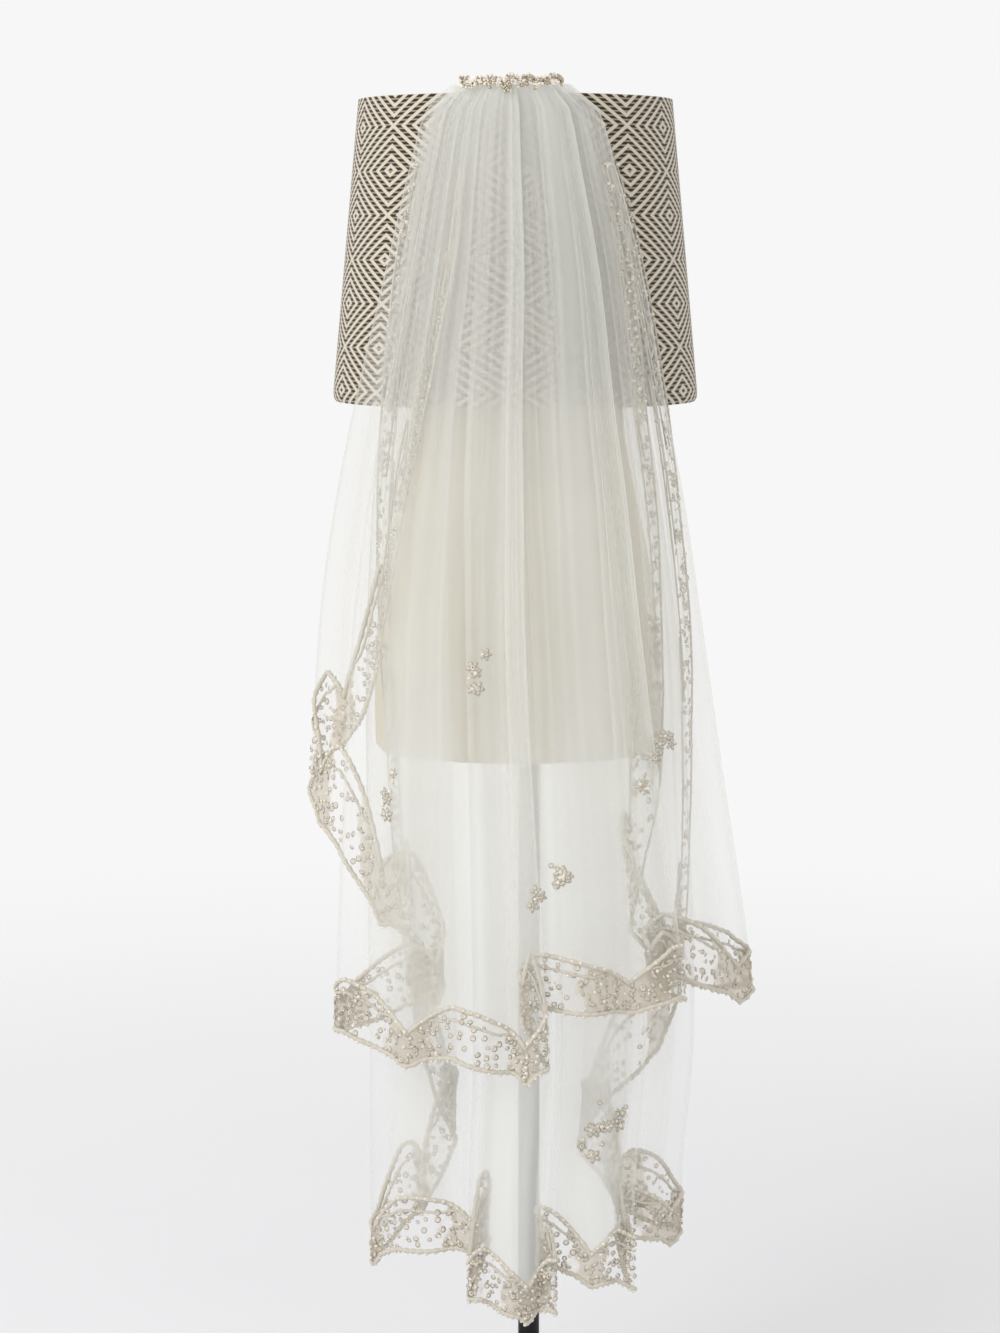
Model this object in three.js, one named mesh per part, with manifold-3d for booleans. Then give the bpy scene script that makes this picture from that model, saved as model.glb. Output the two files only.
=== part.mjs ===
// Two-tier bridal veil with a beaded comb and lace edging, hung over the shade of a dress-form stand.
// Millimetres, +Z up, front towards -Y. The origin is under the pole, on the underside of the base.
import * as THREE from "three";
import { mergeVertices } from "three/addons/utils/BufferGeometryUtils.js";
import Module from "manifold-3d";

const wasm = await Module();
wasm.setup();

// Driving dimensions: the stand
const POLE = { radius: 12, sides: 20 };
const BASE_SIDES = 36;
const FORM_X = -13;
const FORM_SIDES = 28;
const FORM_CROWN = 5;
const SHADE = { x: -16, topRadius: 170, bottomRadius: 200, topZ: 1471, bottomZ: 1147, wall: 2.4, sides: 60 };
const SPIDER = { below: 62, wire: 4, spokes: 3, sides: 20 };
const ROD = { radius: 7, sides: 14 };
const GAP = 0.3;
const SEAM = 3 * GAP;

// Outline of the turned base plate and its collar, a row for each corner
const BASE_OUTLINE = [
  { radius: 0, z: 0 },
  { radius: 173, z: 0 },
  { radius: 175, z: 2 },
  { radius: 175, z: 6 },
  { radius: 173, z: 8 },
  { radius: 44, z: 14 },
  { radius: 26, z: 20 },
  { radius: 26, z: 49 },
  { radius: 23, z: 52 },
  { radius: 0, z: 52 },
];

// Outline of the spider's hub and its finial, above the spider's underside
const HUB_OUTLINE = [
  { radius: 0, z: 0 },
  { radius: 22, z: 0 },
  { radius: 22, z: 4 },
  { radius: 10, z: 4 },
  { radius: 9, z: 18 },
  { radius: 0, z: 22 },
];

// Half sizes of the padded dress form, a row for each level, from its flat underside to its closed top
const FORM_LEVELS = [
  { z: 761, wide: 152, deep: 112 },
  { z: 769, wide: 158, deep: 117 },
  { z: 840, wide: 159, deep: 119 },
  { z: 910, wide: 153, deep: 116 },
  { z: 980, wide: 143, deep: 108 },
  { z: 1050, wide: 128, deep: 98 },
  { z: 1120, wide: 116, deep: 90 },
  { z: 1170, wide: 114, deep: 90 },
  { z: 1220, wide: 104, deep: 84 },
  { z: 1255, wide: 78, deep: 64 },
  { z: 1274, wide: 40, deep: 34 },
];

// Driving dimensions: the veil
const COMB = { x: -5, width: 105, topZ: 1487, teeth: 11, thick: 1.8 };
const BAND = { width: 92, low: 1471.5, high: 1491, out: 26.2, back: 2, bead: 3.2, columns: 32, rows: 5 };
const TULLE = { wall: 1, topDrop: 8 };
const LACE = { wall: 1, repeat: 104, lobe: 56, neck: 25, sideWidth: 26, outerBulge: 9, border: 9 };
const SCALLOP = { shift: 0.35, roundness: 0.7 };
const SIDE_SLANT = { from: 2, to: 3 };
const LACE_WINDOWS = [0.24, 0.44, 0.58, 0.8];
const TOP_CLEARANCE = 82;
const WIDEST_SEAM = 14;
const COLUMNS = { perCut: 104, edgeStep: 75, fewest: 4 };
const NORMAL_STEP = 4;

// The comb's section, a row for each corner: how far past the shade's rim it is and how high above it
const COMB_SECTION = [
  { past: 1, above: 14 },
  { past: 0.5, above: 4 },
  { past: -6, above: 3 },
  { past: -8, above: -8 },
  { past: -8, above: -44 },
];

// How each tier hangs. cut is the width it was cut to, gathers the number of its small pleats, and rows
// the drops at which its wall has points. levels has a row for each drop below the comb's top: left and
// right are the outline seen from the front, front and side the half axes of the plan, nest the share of
// the folds' depth and wave the height of the gathers. folds has a row for each fold, from the left side
// edge to the right one: share of the cut's width, place across the outline, depth of the cloth before and
// after the fold behind the tier's front, length of the cloth, and share of the gathers' height after it.
const UPPER = {
  name: "upper",
  cut: 1400,
  gathers: 22,
  rows: [30, 86, 197, 341, 560, 735, 900],
  levels: [
    { drop: 0, left: -54, right: 44, front: 191.6, side: 191.6, nest: 0.2, wave: 0 },
    { drop: 16, left: -72, right: 62, front: 193.4, side: 193.4, nest: 0.21, wave: 0.05 },
    { drop: 30, left: -89, right: 80, front: 195.2, side: 195.2, nest: 0.22, wave: 0.1 },
    { drop: 86, left: -106, right: 97, front: 203.2, side: 203.2, nest: 0.25, wave: 0.4 },
    { drop: 197, left: -133, right: 126, front: 219, side: 219, nest: 0.31, wave: 0.9 },
    { drop: 341, left: -168, right: 152, front: 240, side: 240, nest: 0.38, wave: 1.6 },
    { drop: 430, left: -187, right: 170, front: 250, side: 250, nest: 0.43, wave: 2.2 },
    { drop: 560, left: -210, right: 192, front: 264, side: 264, nest: 0.6, wave: 3.2 },
    { drop: 735, left: -227, right: 222, front: 280, side: 280, nest: 0.85, wave: 4.5 },
    { drop: 918, left: -240, right: 254, front: 291, side: 294, nest: 1, wave: 5.6 },
    { drop: 1080, left: -248, right: 274, front: 298, side: 308, nest: 1.1, wave: 6.2 },
  ],
  folds: [
    { share: 0, across: 0.26, before: 40, after: 40, length: 150, gathered: 0 },
    { share: 0.045, across: 0.22, before: 39, after: 39, length: 300, gathered: 0 },
    { share: 0.085, across: 0.18, before: 38, after: 38, length: 450, gathered: 0 },
    { share: 0.13, across: 0.125, before: 38, after: 38, length: 630, gathered: 0.2 },
    { share: 0.185, across: -0.038, before: 37, after: 26, length: 745, gathered: 0.3 },
    { share: 0.28, across: 0.323, before: 26, after: 17.5, length: 936, gathered: 0.3 },
    { share: 0.36, across: 0.083, before: 17, after: 8, length: 994, gathered: 1 },
    { share: 0.525, across: 0.547, before: 0, after: 9, length: 1022, gathered: 0 },
    { share: 0.562, across: 0.49, before: 9, after: 19, length: 962, gathered: 1 },
    { share: 0.665, across: 0.849, before: 2, after: 14, length: 962, gathered: 0 },
    { share: 0.702, across: 0.782, before: 14, after: 23, length: 930, gathered: 0.8 },
    { share: 0.775, across: 1.038, before: 18, after: 28, length: 978, gathered: 0.3 },
    { share: 0.85, across: 0.767, before: 31.5, after: 39, length: 888, gathered: 0.2 },
    { share: 0.9, across: 0.9, before: 41, after: 41, length: 712, gathered: 0 },
    { share: 0.925, across: 0.93, before: 41, after: 41, length: 630, gathered: 0 },
    { share: 0.95, across: 0.96, before: 41, after: 41, length: 440, gathered: 0 },
    { share: 0.975, across: 0.99, before: 42, after: 42, length: 280, gathered: 0 },
    { share: 1, across: 1.02, before: 42, after: 42, length: 150, gathered: 0 },
  ],
};
const LOWER = {
  name: "lower",
  cut: 1400,
  gathers: 20,
  rows: [30, 86, 197, 341, 430, 646, 1024],
  levels: [
    { drop: 0, left: -46, right: 32, front: 181.6, side: 181.6, nest: 0.2, wave: 0 },
    { drop: 16, left: -60, right: 46, front: 183.3, side: 183.3, nest: 0.21, wave: 0.05 },
    { drop: 30, left: -70, right: 58, front: 184.9, side: 184.9, nest: 0.22, wave: 0.1 },
    { drop: 86, left: -88, right: 78, front: 191.2, side: 191.2, nest: 0.25, wave: 0.3 },
    { drop: 197, left: -108, right: 103, front: 203.7, side: 203.7, nest: 0.31, wave: 0.7 },
    { drop: 341, left: -131, right: 129, front: 219.8, side: 219.8, nest: 0.38, wave: 1.2 },
    { drop: 430, left: -142, right: 143, front: 229, side: 229, nest: 0.42, wave: 1.6 },
    { drop: 646, left: -152, right: 172, front: 237, side: 238, nest: 0.62, wave: 2.6 },
    { drop: 1024, left: -155, right: 195, front: 240, side: 250, nest: 1, wave: 4.6 },
    { drop: 1190, left: -157, right: 183, front: 241, side: 250, nest: 1.1, wave: 5.4 },
    { drop: 1330, left: -157, right: 184, front: 242, side: 252, nest: 1.2, wave: 6 },
  ],
  folds: [
    { share: 0, across: -0.14, before: 44, after: 44, length: 150, gathered: 0 },
    { share: 0.05, across: -0.05, before: 43, after: 43, length: 480, gathered: 0 },
    { share: 0.09, across: 0.02, before: 43, after: 43, length: 850, gathered: 0 },
    { share: 0.13, across: 0.08, before: 42, after: 42, length: 1015, gathered: 0.2 },
    { share: 0.19, across: 0.235, before: 40, after: 31, length: 1128, gathered: 0.3 },
    { share: 0.27, across: -0.056, before: 28, after: 18, length: 1258, gathered: 0.8 },
    { share: 0.37, across: 0.378, before: 20, after: 11, length: 1226, gathered: 0 },
    { share: 0.405, across: 0.306, before: 11, after: 3, length: 1284, gathered: 1 },
    { share: 0.515, across: 0.589, before: 0, after: 8, length: 1300, gathered: 0 },
    { share: 0.55, across: 0.527, before: 8, after: 18, length: 1246, gathered: 1 },
    { share: 0.65, across: 0.85, before: 2, after: 14, length: 1284, gathered: 0 },
    { share: 0.685, across: 0.795, before: 14, after: 23, length: 1230, gathered: 0.6 },
    { share: 0.745, across: 1.055, before: 19, after: 28, length: 1242, gathered: 0.3 },
    { share: 0.83, across: 0.68, before: 30, after: 38, length: 1125, gathered: 0.2 },
    { share: 0.9, across: 1.04, before: 41, after: 41, length: 990, gathered: 0 },
    { share: 0.93, across: 1.09, before: 42, after: 42, length: 880, gathered: 0 },
    { share: 0.965, across: 1.15, before: 43, after: 43, length: 480, gathered: 0 },
    { share: 1, across: 1.2, before: 44, after: 44, length: 150, gathered: 0 },
  ],
};

// Materials, with the colours of the real cloth, beads and stand
function finish(color, roughness, metalness = 0) {
  return new THREE.MeshStandardMaterial({ color, roughness, metalness });
}
const TULLE_FINISH = finish(0xe9e6dc, 0.8);
const LACE_FINISH = finish(0xd6cfbf, 0.7);
const BEAD_FINISH = finish(0xddd3c4, 0.25);
const COMB_FINISH = finish(0xdedbd2, 0.3);
const SHADE_FINISH = finish(0x9b8e7b, 0.9);
const FORM_FINISH = finish(0xd9d2c2, 0.85);
const BLACK_FINISH = finish(0x1b1b1e, 0.45, 0.3);
const WIRE_FINISH = finish(0xc9c9c6, 0.35, 0.9);

// A smooth curve through the rows of a table that never overshoots them
function throughRows(rows, key, column) {
  const x = rows.map((row) => row[key]);
  const y = rows.map((row) => row[column]);
  const slope = x.slice(1).map((value, i) => (y[i + 1] - y[i]) / (value - x[i]));
  const tangent = y.map((_, i) => {
    if (i === 0 || i === y.length - 1) return slope[Math.min(i, slope.length - 1)];
    const product = slope[i - 1] * slope[i];
    return product <= 0 ? 0 : (2 * product) / (slope[i - 1] + slope[i]);
  });
  return (at) => {
    let i = x.findIndex((value) => value > at) - 1;
    if (i === -2) i = x.length - 2;
    i = Math.max(i, 0);
    const span = x[i + 1] - x[i];
    const t = (at - x[i]) / span;
    if (t > 1) return y[i + 1] + (at - x[i + 1]) * tangent[i + 1];
    const a = 2 * t ** 3 - 3 * t ** 2 + 1;
    const b = t ** 3 - 2 * t ** 2 + t;
    return a * y[i] + b * span * tangent[i] + (1 - a) * y[i + 1] + (t ** 3 - t ** 2) * span * tangent[i + 1];
  };
}

// The columns a tier's cloth is drawn by: more where its edge is long, and a least number between two folds
function columnsOf(tier) {
  const length = throughRows(tier.folds, "share", "length");
  const columns = [];
  for (let i = 0; i + 1 < tier.folds.length; i++) {
    const from = tier.folds[i];
    const to = tier.folds[i + 1];
    const width = to.share - from.share;
    const byEdge = Math.abs(to.length - from.length) / COLUMNS.edgeStep;
    const count = Math.round(Math.max(COLUMNS.fewest, width * COLUMNS.perCut, byEdge));
    for (let k = 0; k < count; k++) {
      const t = k / count;
      const share = from.share + width * t;
      const slowed = t / 2 + (1 - Math.cos(Math.PI * t)) / 4;
      const across = THREE.MathUtils.lerp(from.across, to.across, slowed);
      const turning = (from.before + from.after) / 2;
      const behind = k === 0 ? turning : THREE.MathUtils.lerp(from.after, to.before, t);
      const gathered = from.gathered * Math.sin(Math.PI * t);
      columns.push({ share, across, behind, gathered, length: length(share) });
    }
  }
  const end = tier.folds[tier.folds.length - 1];
  return [...columns, { share: 1, across: end.across, behind: end.before, gathered: 0, length: end.length }];
}

// The hanging surface of a tier: a point for one of its columns and a drop below the comb's top
function hangingSurface(tier) {
  const level = {};
  for (const column of ["left", "right", "front", "side", "nest", "wave"]) {
    level[column] = throughRows(tier.levels, "drop", column);
  }
  return ({ share, across, behind, gathered }, drop) => {
    const x = THREE.MathUtils.lerp(level.left(drop), level.right(drop), across);
    const angle = Math.asin(x / level.side(drop));
    const wave = level.wave(drop) * gathered * Math.sin(2 * Math.PI * tier.gathers * share);
    const inward = behind * level.nest(drop) - wave;
    const y = -level.front(drop) * Math.cos(angle);
    return new THREE.Vector3(
      SHADE.x + x - inward * Math.sin(angle),
      y + inward * Math.cos(angle),
      COMB.topZ - drop,
    );
  };
}

// The points of a tier's cloth at the drops given for each column, with the cloth's normals there
function clothGrid(surface, columns, drops) {
  const points = columns.map((column, i) => drops[i].map((drop) => surface(column, drop)));
  const normals = columns.map((column, i) =>
    drops[i].map((drop) => {
      const before = columns[Math.max(i - 1, 0)];
      const after = columns[Math.min(i + 1, columns.length - 1)];
      const here = surface(column, drop);
      const arriving = here.clone().sub(surface(before, drop)).normalize();
      const leaving = surface(after, drop).sub(here).normalize();
      const down = surface(column, drop + NORMAL_STEP).sub(surface(column, drop - NORMAL_STEP));
      return down.cross(arriving.add(leaving)).normalize();
    }),
  );
  return { points, normals };
}

// A grid of points with normals taken from its neighbouring points
function plainGrid(points) {
  const at = (i, j) => {
    const column = points[THREE.MathUtils.clamp(i, 0, points.length - 1)];
    return column[THREE.MathUtils.clamp(j, 0, column.length - 1)].clone();
  };
  const normals = points.map((column, i) =>
    column.map((_, j) => {
      const over = at(i + 1, j).sub(at(i - 1, j));
      const down = at(i, j + 1).sub(at(i, j - 1));
      return down.cross(over).normalize();
    }),
  );
  return { points, normals };
}

// Where the lace lies on each column: its outer and inner edge as drops below the comb's top, and its repeat
function lacePlaces(tier, columns) {
  let along = 0;
  return columns.map(({ share, length }, i) => {
    const before = columns[Math.max(i - 1, 0)];
    const after = columns[Math.min(i + 1, columns.length - 1)];
    along += Math.hypot((share - before.share) * tier.cut, length - before.length);
    const steep = (after.length - before.length) / ((after.share - before.share) * tier.cut);
    const slant = Math.hypot(1, steep);
    const turns = along / LACE.repeat;
    const outer = length + LACE.outerBulge * (Math.abs(Math.sin(Math.PI * turns)) - 1);
    const lobe = Math.abs(Math.sin(Math.PI * (turns + SCALLOP.shift))) ** SCALLOP.roundness;
    const onSide = THREE.MathUtils.smoothstep(slant, SIDE_SLANT.from, SIDE_SLANT.to);
    const hemWidth = THREE.MathUtils.lerp(LACE.neck, LACE.lobe, lobe);
    const width = THREE.MathUtils.lerp(hemWidth, LACE.sideWidth, onSide) * slant;
    const inner = Math.max(outer - width, TULLE.topDrop + TOP_CLEARANCE);
    const border = Math.min(LACE.border * slant, (outer - inner) / 3);
    return { turns, outer, inner, onSide, border };
  });
}

// A closed wall on a grid of points, half its thickness to each side, without the cells that are left out.
// A column with fewer points than the others ends in a point where its neighbour's further rows meet.
function wallOn({ points, normals }, thickness, keeps = () => true) {
  const columns = points.length;
  const rows = Math.max(...points.map((column) => column.length));
  const first = [];
  const positions = [[], []];
  points.forEach((column, i) => {
    first.push(positions[0].length / 3);
    column.forEach((point, j) => {
      positions[0].push(...point.clone().addScaledVector(normals[i][j], thickness / 2).toArray());
      positions[1].push(...point.clone().addScaledVector(normals[i][j], -thickness / 2).toArray());
    });
  });
  const perSide = positions[0].length / 3;
  const vertex = (side, i, j) => side * perSide + first[i] + Math.min(j, points[i].length - 1);
  const kept = (i, j) => i >= 0 && j >= 0 && i < columns - 1 && j < rows - 1 && keeps(i, j);
  const index = [];
  const triangle = (a, b, c) => a !== b && b !== c && c !== a && index.push(a, b, c);
  const quad = (a, b, c, d) => {
    triangle(a, b, c);
    triangle(a, c, d);
  };
  const rim = (i0, j0, i1, j1) => {
    const [a, b] = [vertex(0, i0, j0), vertex(0, i1, j1)];
    if (a !== b) quad(a, a + perSide, b + perSide, b);
  };
  for (let i = 0; i < columns - 1; i++) {
    for (let j = 0; j < rows - 1; j++) {
      if (!kept(i, j)) continue;
      quad(vertex(0, i, j), vertex(0, i, j + 1), vertex(0, i + 1, j + 1), vertex(0, i + 1, j));
      quad(vertex(1, i, j), vertex(1, i + 1, j), vertex(1, i + 1, j + 1), vertex(1, i, j + 1));
      if (!kept(i - 1, j)) rim(i, j, i, j + 1);
      if (!kept(i, j + 1)) rim(i, j + 1, i + 1, j + 1);
      if (!kept(i + 1, j)) rim(i + 1, j + 1, i + 1, j);
      if (!kept(i, j - 1)) rim(i + 1, j, i, j);
    }
  }
  const geometry = new THREE.BufferGeometry();
  geometry.setAttribute("position", new THREE.Float32BufferAttribute([...positions[0], ...positions[1]], 3));
  geometry.setIndex(index);
  return geometry;
}

// A solid of manifold-3d from a closed geometry, and back
function toSolid(geometry) {
  const bare = geometry.clone();
  bare.deleteAttribute("normal");
  bare.deleteAttribute("uv");
  const merged = mergeVertices(bare, 1e-3);
  return new wasm.Manifold(
    new wasm.Mesh({
      numProp: 3,
      vertProperties: merged.attributes.position.array,
      triVerts: new Uint32Array(merged.index.array),
    }),
  );
}
function toGeometry(solid) {
  const mesh = solid.getMesh();
  const geometry = new THREE.BufferGeometry();
  geometry.setAttribute("position", new THREE.BufferAttribute(mesh.vertProperties, 3));
  geometry.setIndex(new THREE.BufferAttribute(mesh.triVerts, 1));
  return geometry;
}

const veilOnStand = new THREE.Group();
function add(name, geometry, material) {
  const mesh = new THREE.Mesh(geometry, material);
  mesh.name = name;
  veilOnStand.add(mesh);
  return mesh;
}

// A turned piece about a vertical axis at x, from the rows of its outline lifted by z
function turned(outline, sides, x, lift) {
  const corners = outline.map(({ radius, z }) => new THREE.Vector2(radius, z + lift));
  return new THREE.LatheGeometry(corners, sides).rotateX(Math.PI / 2).translate(x, 0, 0);
}

// A round upright at x between two heights
function upright(radius, low, high, sides, x) {
  const geometry = new THREE.CylinderGeometry(radius, radius, high - low, sides);
  return geometry.rotateX(Math.PI / 2).translate(x, 0, (low + high) / 2);
}

// The base plate with its collar, and the pole up to the underside of the form
function addBaseAndPole() {
  add("stand_base", turned(BASE_OUTLINE, BASE_SIDES, 0, 0), BLACK_FINISH);
  const low = BASE_OUTLINE[BASE_OUTLINE.length - 1].z + GAP;
  const high = FORM_LEVELS[0].z - GAP;
  add("stand_pole", upright(POLE.radius, low, high, POLE.sides, 0), BLACK_FINISH);
}

// The padded form, from hips to waist to its closed top, with an oval section at each level
function addForm() {
  const positions = [];
  for (const { z, wide, deep } of FORM_LEVELS) {
    for (let k = 0; k < FORM_SIDES; k++) {
      const angle = (2 * Math.PI * k) / FORM_SIDES;
      positions.push(FORM_X + wide * Math.cos(angle), deep * Math.sin(angle), z);
    }
  }
  const last = FORM_LEVELS.length - 1;
  const poles = positions.length / 3;
  positions.push(FORM_X, 0, FORM_LEVELS[0].z, FORM_X, 0, FORM_LEVELS[last].z + FORM_CROWN);
  const index = [];
  for (let k = 0; k < FORM_SIDES; k++) {
    const next = (k + 1) % FORM_SIDES;
    index.push(poles, next, k, poles + 1, last * FORM_SIDES + k, last * FORM_SIDES + next);
    for (let row = 0; row < last; row++) {
      const a = row * FORM_SIDES;
      const b = a + FORM_SIDES;
      index.push(a + k, a + next, b + next, a + k, b + next, b + k);
    }
  }
  const geometry = new THREE.BufferGeometry();
  geometry.setAttribute("position", new THREE.Float32BufferAttribute(positions, 3));
  geometry.setIndex(index);
  add("form_body", geometry, FORM_FINISH);
}

// The shade: a tapered drum open at both ends
function addShade() {
  const { x, topRadius, bottomRadius, topZ, bottomZ, wall, sides } = SHADE;
  const drum = [
    { radius: bottomRadius - wall, z: bottomZ },
    { radius: bottomRadius, z: bottomZ },
    { radius: topRadius, z: topZ },
    { radius: topRadius - wall, z: topZ },
    { radius: bottomRadius - wall, z: bottomZ },
  ];
  add("shade_drum", turned(drum, sides, x, 0), SHADE_FINISH);
}

// The recessed spider that carries the shade, and the rod under it from the form's top
function addSpiderAndRod() {
  const { x, topRadius, bottomRadius, topZ, bottomZ, wall } = SHADE;
  const { below, wire, spokes, sides } = SPIDER;
  const low = topZ - below;
  const taper = (bottomRadius - topRadius) / (topZ - bottomZ);
  const reach = topRadius - wall + taper * (below - wire) - SEAM;
  let spider = toSolid(turned(HUB_OUTLINE, sides, x, low));
  for (let k = 0; k < spokes; k++) {
    const spoke = new THREE.BoxGeometry(reach, wire, wire).translate(reach / 2, 0, low + wire / 2);
    spoke.rotateZ((2 * Math.PI * k) / spokes).translate(x, 0, 0);
    spider = spider.add(toSolid(spoke));
  }
  add("shade_spider", toGeometry(spider), WIRE_FINISH);
  const foot = FORM_LEVELS[FORM_LEVELS.length - 1].z + FORM_CROWN + GAP;
  add("shade_rod", upright(ROD.radius, foot, low - GAP, ROD.sides, x), WIRE_FINISH);
}

// A point on the shade's rim line, at a distance along it from the comb's middle
function onRim(along, radius, z) {
  const angle = (COMB.x + along) / SHADE.topRadius;
  return new THREE.Vector3(SHADE.x + radius * Math.sin(angle), -radius * Math.cos(angle), z);
}

// The comb: a spine that stands on the shade's rim, with teeth that hook over it and hang inside
function addComb() {
  const { width, teeth, thick } = COMB;
  const columns = 2 * teeth;
  const points = [];
  for (let i = 0; i < columns; i++) {
    const along = (i / (columns - 1) - 0.5) * width;
    const corner = ({ past, above }) => onRim(along, SHADE.topRadius + past, SHADE.topZ + above);
    points.push(COMB_SECTION.map(corner));
  }
  const isSpineOrTooth = (i, j) => j === 0 || i % 2 === 0;
  add("comb", wallOn(plainGrid(points), thick, isSpineOrTooth), COMB_FINISH);
}

// The beaded band sewn along the comb, with beads raised in its outer face over a plain back
function addBeadBand() {
  const { width, low, high, out, back, bead, columns, rows } = BAND;
  const radius = SHADE.topRadius + out;
  const face = [];
  for (let i = 0; i <= columns; i++) {
    const along = (i / columns - 0.5) * width;
    const column = [];
    for (let j = 0; j <= rows; j++) {
      const rim = i === 0 || i === columns || j === 0 || j === rows;
      const raised = !rim && (i + j) % 2 === 0 ? bead : 0;
      column.push(onRim(along, radius + raised, high + ((low - high) * j) / rows));
    }
    face.push(column);
  }
  add("bead_band", wallOn(plainGrid(face), back), BEAD_FINISH);
}

// How far above the lace the tulle ends on a column: more where the seam is steep, so that its gap is even
function seamGap(surface, columns, places, i) {
  const drop = places[i].inner;
  const here = surface(columns[i], drop);
  const steepness = [i - 1, i + 1]
    .filter((k) => k >= 0 && k < columns.length)
    .map((k) => Math.abs(places[k].inner - drop) / here.distanceTo(surface(columns[k], drop)));
  return Math.min(SEAM * Math.hypot(1, ...steepness), WIDEST_SEAM);
}

// A tier of tulle down to its lace, and the lace edging that carries on from it round the sides and the hem
function addTier(tier) {
  const surface = hangingSurface(tier);
  const columns = columnsOf(tier);
  const places = lacePlaces(tier, columns);
  const tulleDrops = places.map(({ inner }, i) => {
    const end = inner - seamGap(surface, columns, places, i);
    return [TULLE.topDrop, ...tier.rows.filter((drop) => drop < end - TULLE.topDrop), end];
  });
  const tulle = wallOn(clothGrid(surface, columns, tulleDrops), TULLE.wall);
  add(`tulle_${tier.name}`, tulle, TULLE_FINISH);

  const laceDrops = places.map(({ outer, inner, border }) => [inner, inner + border, outer - border, outer]);
  const [firstFrom, firstTo, secondFrom, secondTo] = LACE_WINDOWS;
  const isWindow = (i, j) => {
    const phase = ((places[i].turns + places[i + 1].turns) / 2 + SCALLOP.shift) % 1;
    const inLobe = (phase > firstFrom && phase < firstTo) || (phase > secondFrom && phase < secondTo);
    return j === 1 && inLobe && places[i].onSide === 0 && places[i + 1].onSide === 0;
  };
  const lace = wallOn(clothGrid(surface, columns, laceDrops), LACE.wall, (i, j) => !isWindow(i, j));
  add(`lace_${tier.name}`, lace, LACE_FINISH);
}

addBaseAndPole();
addForm();
addShade();
addSpiderAndRod();
addComb();
addBeadBand();
addTier(LOWER);
addTier(UPPER);

export default veilOnStand;
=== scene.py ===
"""The looks of a two-tier bridal veil that hangs over the shade of a dress-form stand, on its CAD frame."""
import math

import bpy
import numpy as np
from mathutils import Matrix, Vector
from mathutils.bvhtree import BVHTree


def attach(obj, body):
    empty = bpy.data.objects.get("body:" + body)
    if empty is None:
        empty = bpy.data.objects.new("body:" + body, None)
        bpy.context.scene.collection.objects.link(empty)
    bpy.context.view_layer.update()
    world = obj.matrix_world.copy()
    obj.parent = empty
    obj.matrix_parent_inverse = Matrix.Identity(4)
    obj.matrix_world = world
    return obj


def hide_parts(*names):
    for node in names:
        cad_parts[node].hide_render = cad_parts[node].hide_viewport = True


bl_info = {
    "name": "Bridal veil on a dress-form stand",
    "version": (1, 0, 0),
    "blender": (4, 5, 0),
    "location": "3D View > Sidebar > Veil",
    "description": "Builds the tulle, lace, beads and stand of a two-tier bridal veil",
    "category": "Object",
}

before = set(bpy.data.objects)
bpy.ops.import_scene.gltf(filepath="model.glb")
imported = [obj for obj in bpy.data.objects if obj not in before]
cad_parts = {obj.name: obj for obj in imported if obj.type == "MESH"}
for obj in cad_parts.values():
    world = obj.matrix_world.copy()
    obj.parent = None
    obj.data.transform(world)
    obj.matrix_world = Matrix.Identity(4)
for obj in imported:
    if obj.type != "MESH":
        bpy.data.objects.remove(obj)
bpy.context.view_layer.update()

MM = 0.001
BODY = "root"

# Places of the stand's pieces, in millimetres, as in the part's source
FORM_X = -13
SHADE = {"x": -16, "top_radius": 170, "bottom_radius": 200, "top": 1471, "bottom": 1147, "wall": 2.4}
SPIDER = {"height": 1411, "wire_radius": 2, "spokes": 3, "reach": 171}
COMB = {"x": -5, "top": 1487}
BAND = {"width": 92, "low": 1471.5, "high": 1491, "radius": 196.2}
TULLE_TOP = 8
TOP_CLEARANCE = 82

# Half sizes of the padded form at each level, in millimetres: height, half width, half depth
FORM_LEVELS = [
    (761, 152, 112),
    (769, 158, 117),
    (840, 159, 119),
    (910, 153, 116),
    (980, 143, 108),
    (1050, 128, 98),
    (1120, 116, 90),
    (1170, 114, 90),
    (1220, 104, 84),
    (1255, 78, 64),
    (1274, 40, 34),
]
# Rings of points on the form, in millimetres: from, to and how many; then the tip of its neck and its sides
FORM_RINGS = [(761, 767, 4), (769, 1220, 60), (1224, 1274, 16)]
FORM_TIP = 1279
FORM_SIDES = 360
# Where the form's cover is sewn, in degrees from its right side seen from the front and round its back, and
# the groove of its seams in millimetres and degrees
FORM_SEAMS = (0, 55, 90, 125, 180, 235, 270, 305)
SEAM = {"depth": 1.2, "spread": 0.9}

# Outlines of the turned metal pieces, in millimetres: radius and height
BASE_OUTLINE = [(173, 0), (175, 2), (175, 6), (173, 8), (44, 14), (26, 20), (26, 49), (23, 52)]
POLE_OUTLINE = [(12, 52.3), (12, 760.7)]
HUB_OUTLINE = [(22, 1409), (22, 1413), (10, 1413), (9, 1427), (5, 1430)]
ROD_OUTLINE = [(7, 1279.3), (7, 1408.7)]
# Edges sharper than this many degrees are rounded, those sharper than the second stay crisp
BEVEL_ANGLE = 30
CRISP_ANGLE = 40
SHADE_CRISP_ANGLE = 50
# The shade's lower rim, rounded in, as radius and height, and the heights of its rings above it
SHADE_RIM = [(196.4, 1147), (198.3, 1149.5), (199.0, 1153)]
SHADE_RINGS = [1159, *np.linspace(1180, 1471, 8)]

# How each tier hangs, in millimetres below the comb's top. A row of levels gives the outline seen from the
# front, the half axes of the plan, the share of the folds' depth and the height of the gathers.
LEVEL_COLUMNS = ("drop", "left", "right", "front", "side", "nest", "wave")
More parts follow.
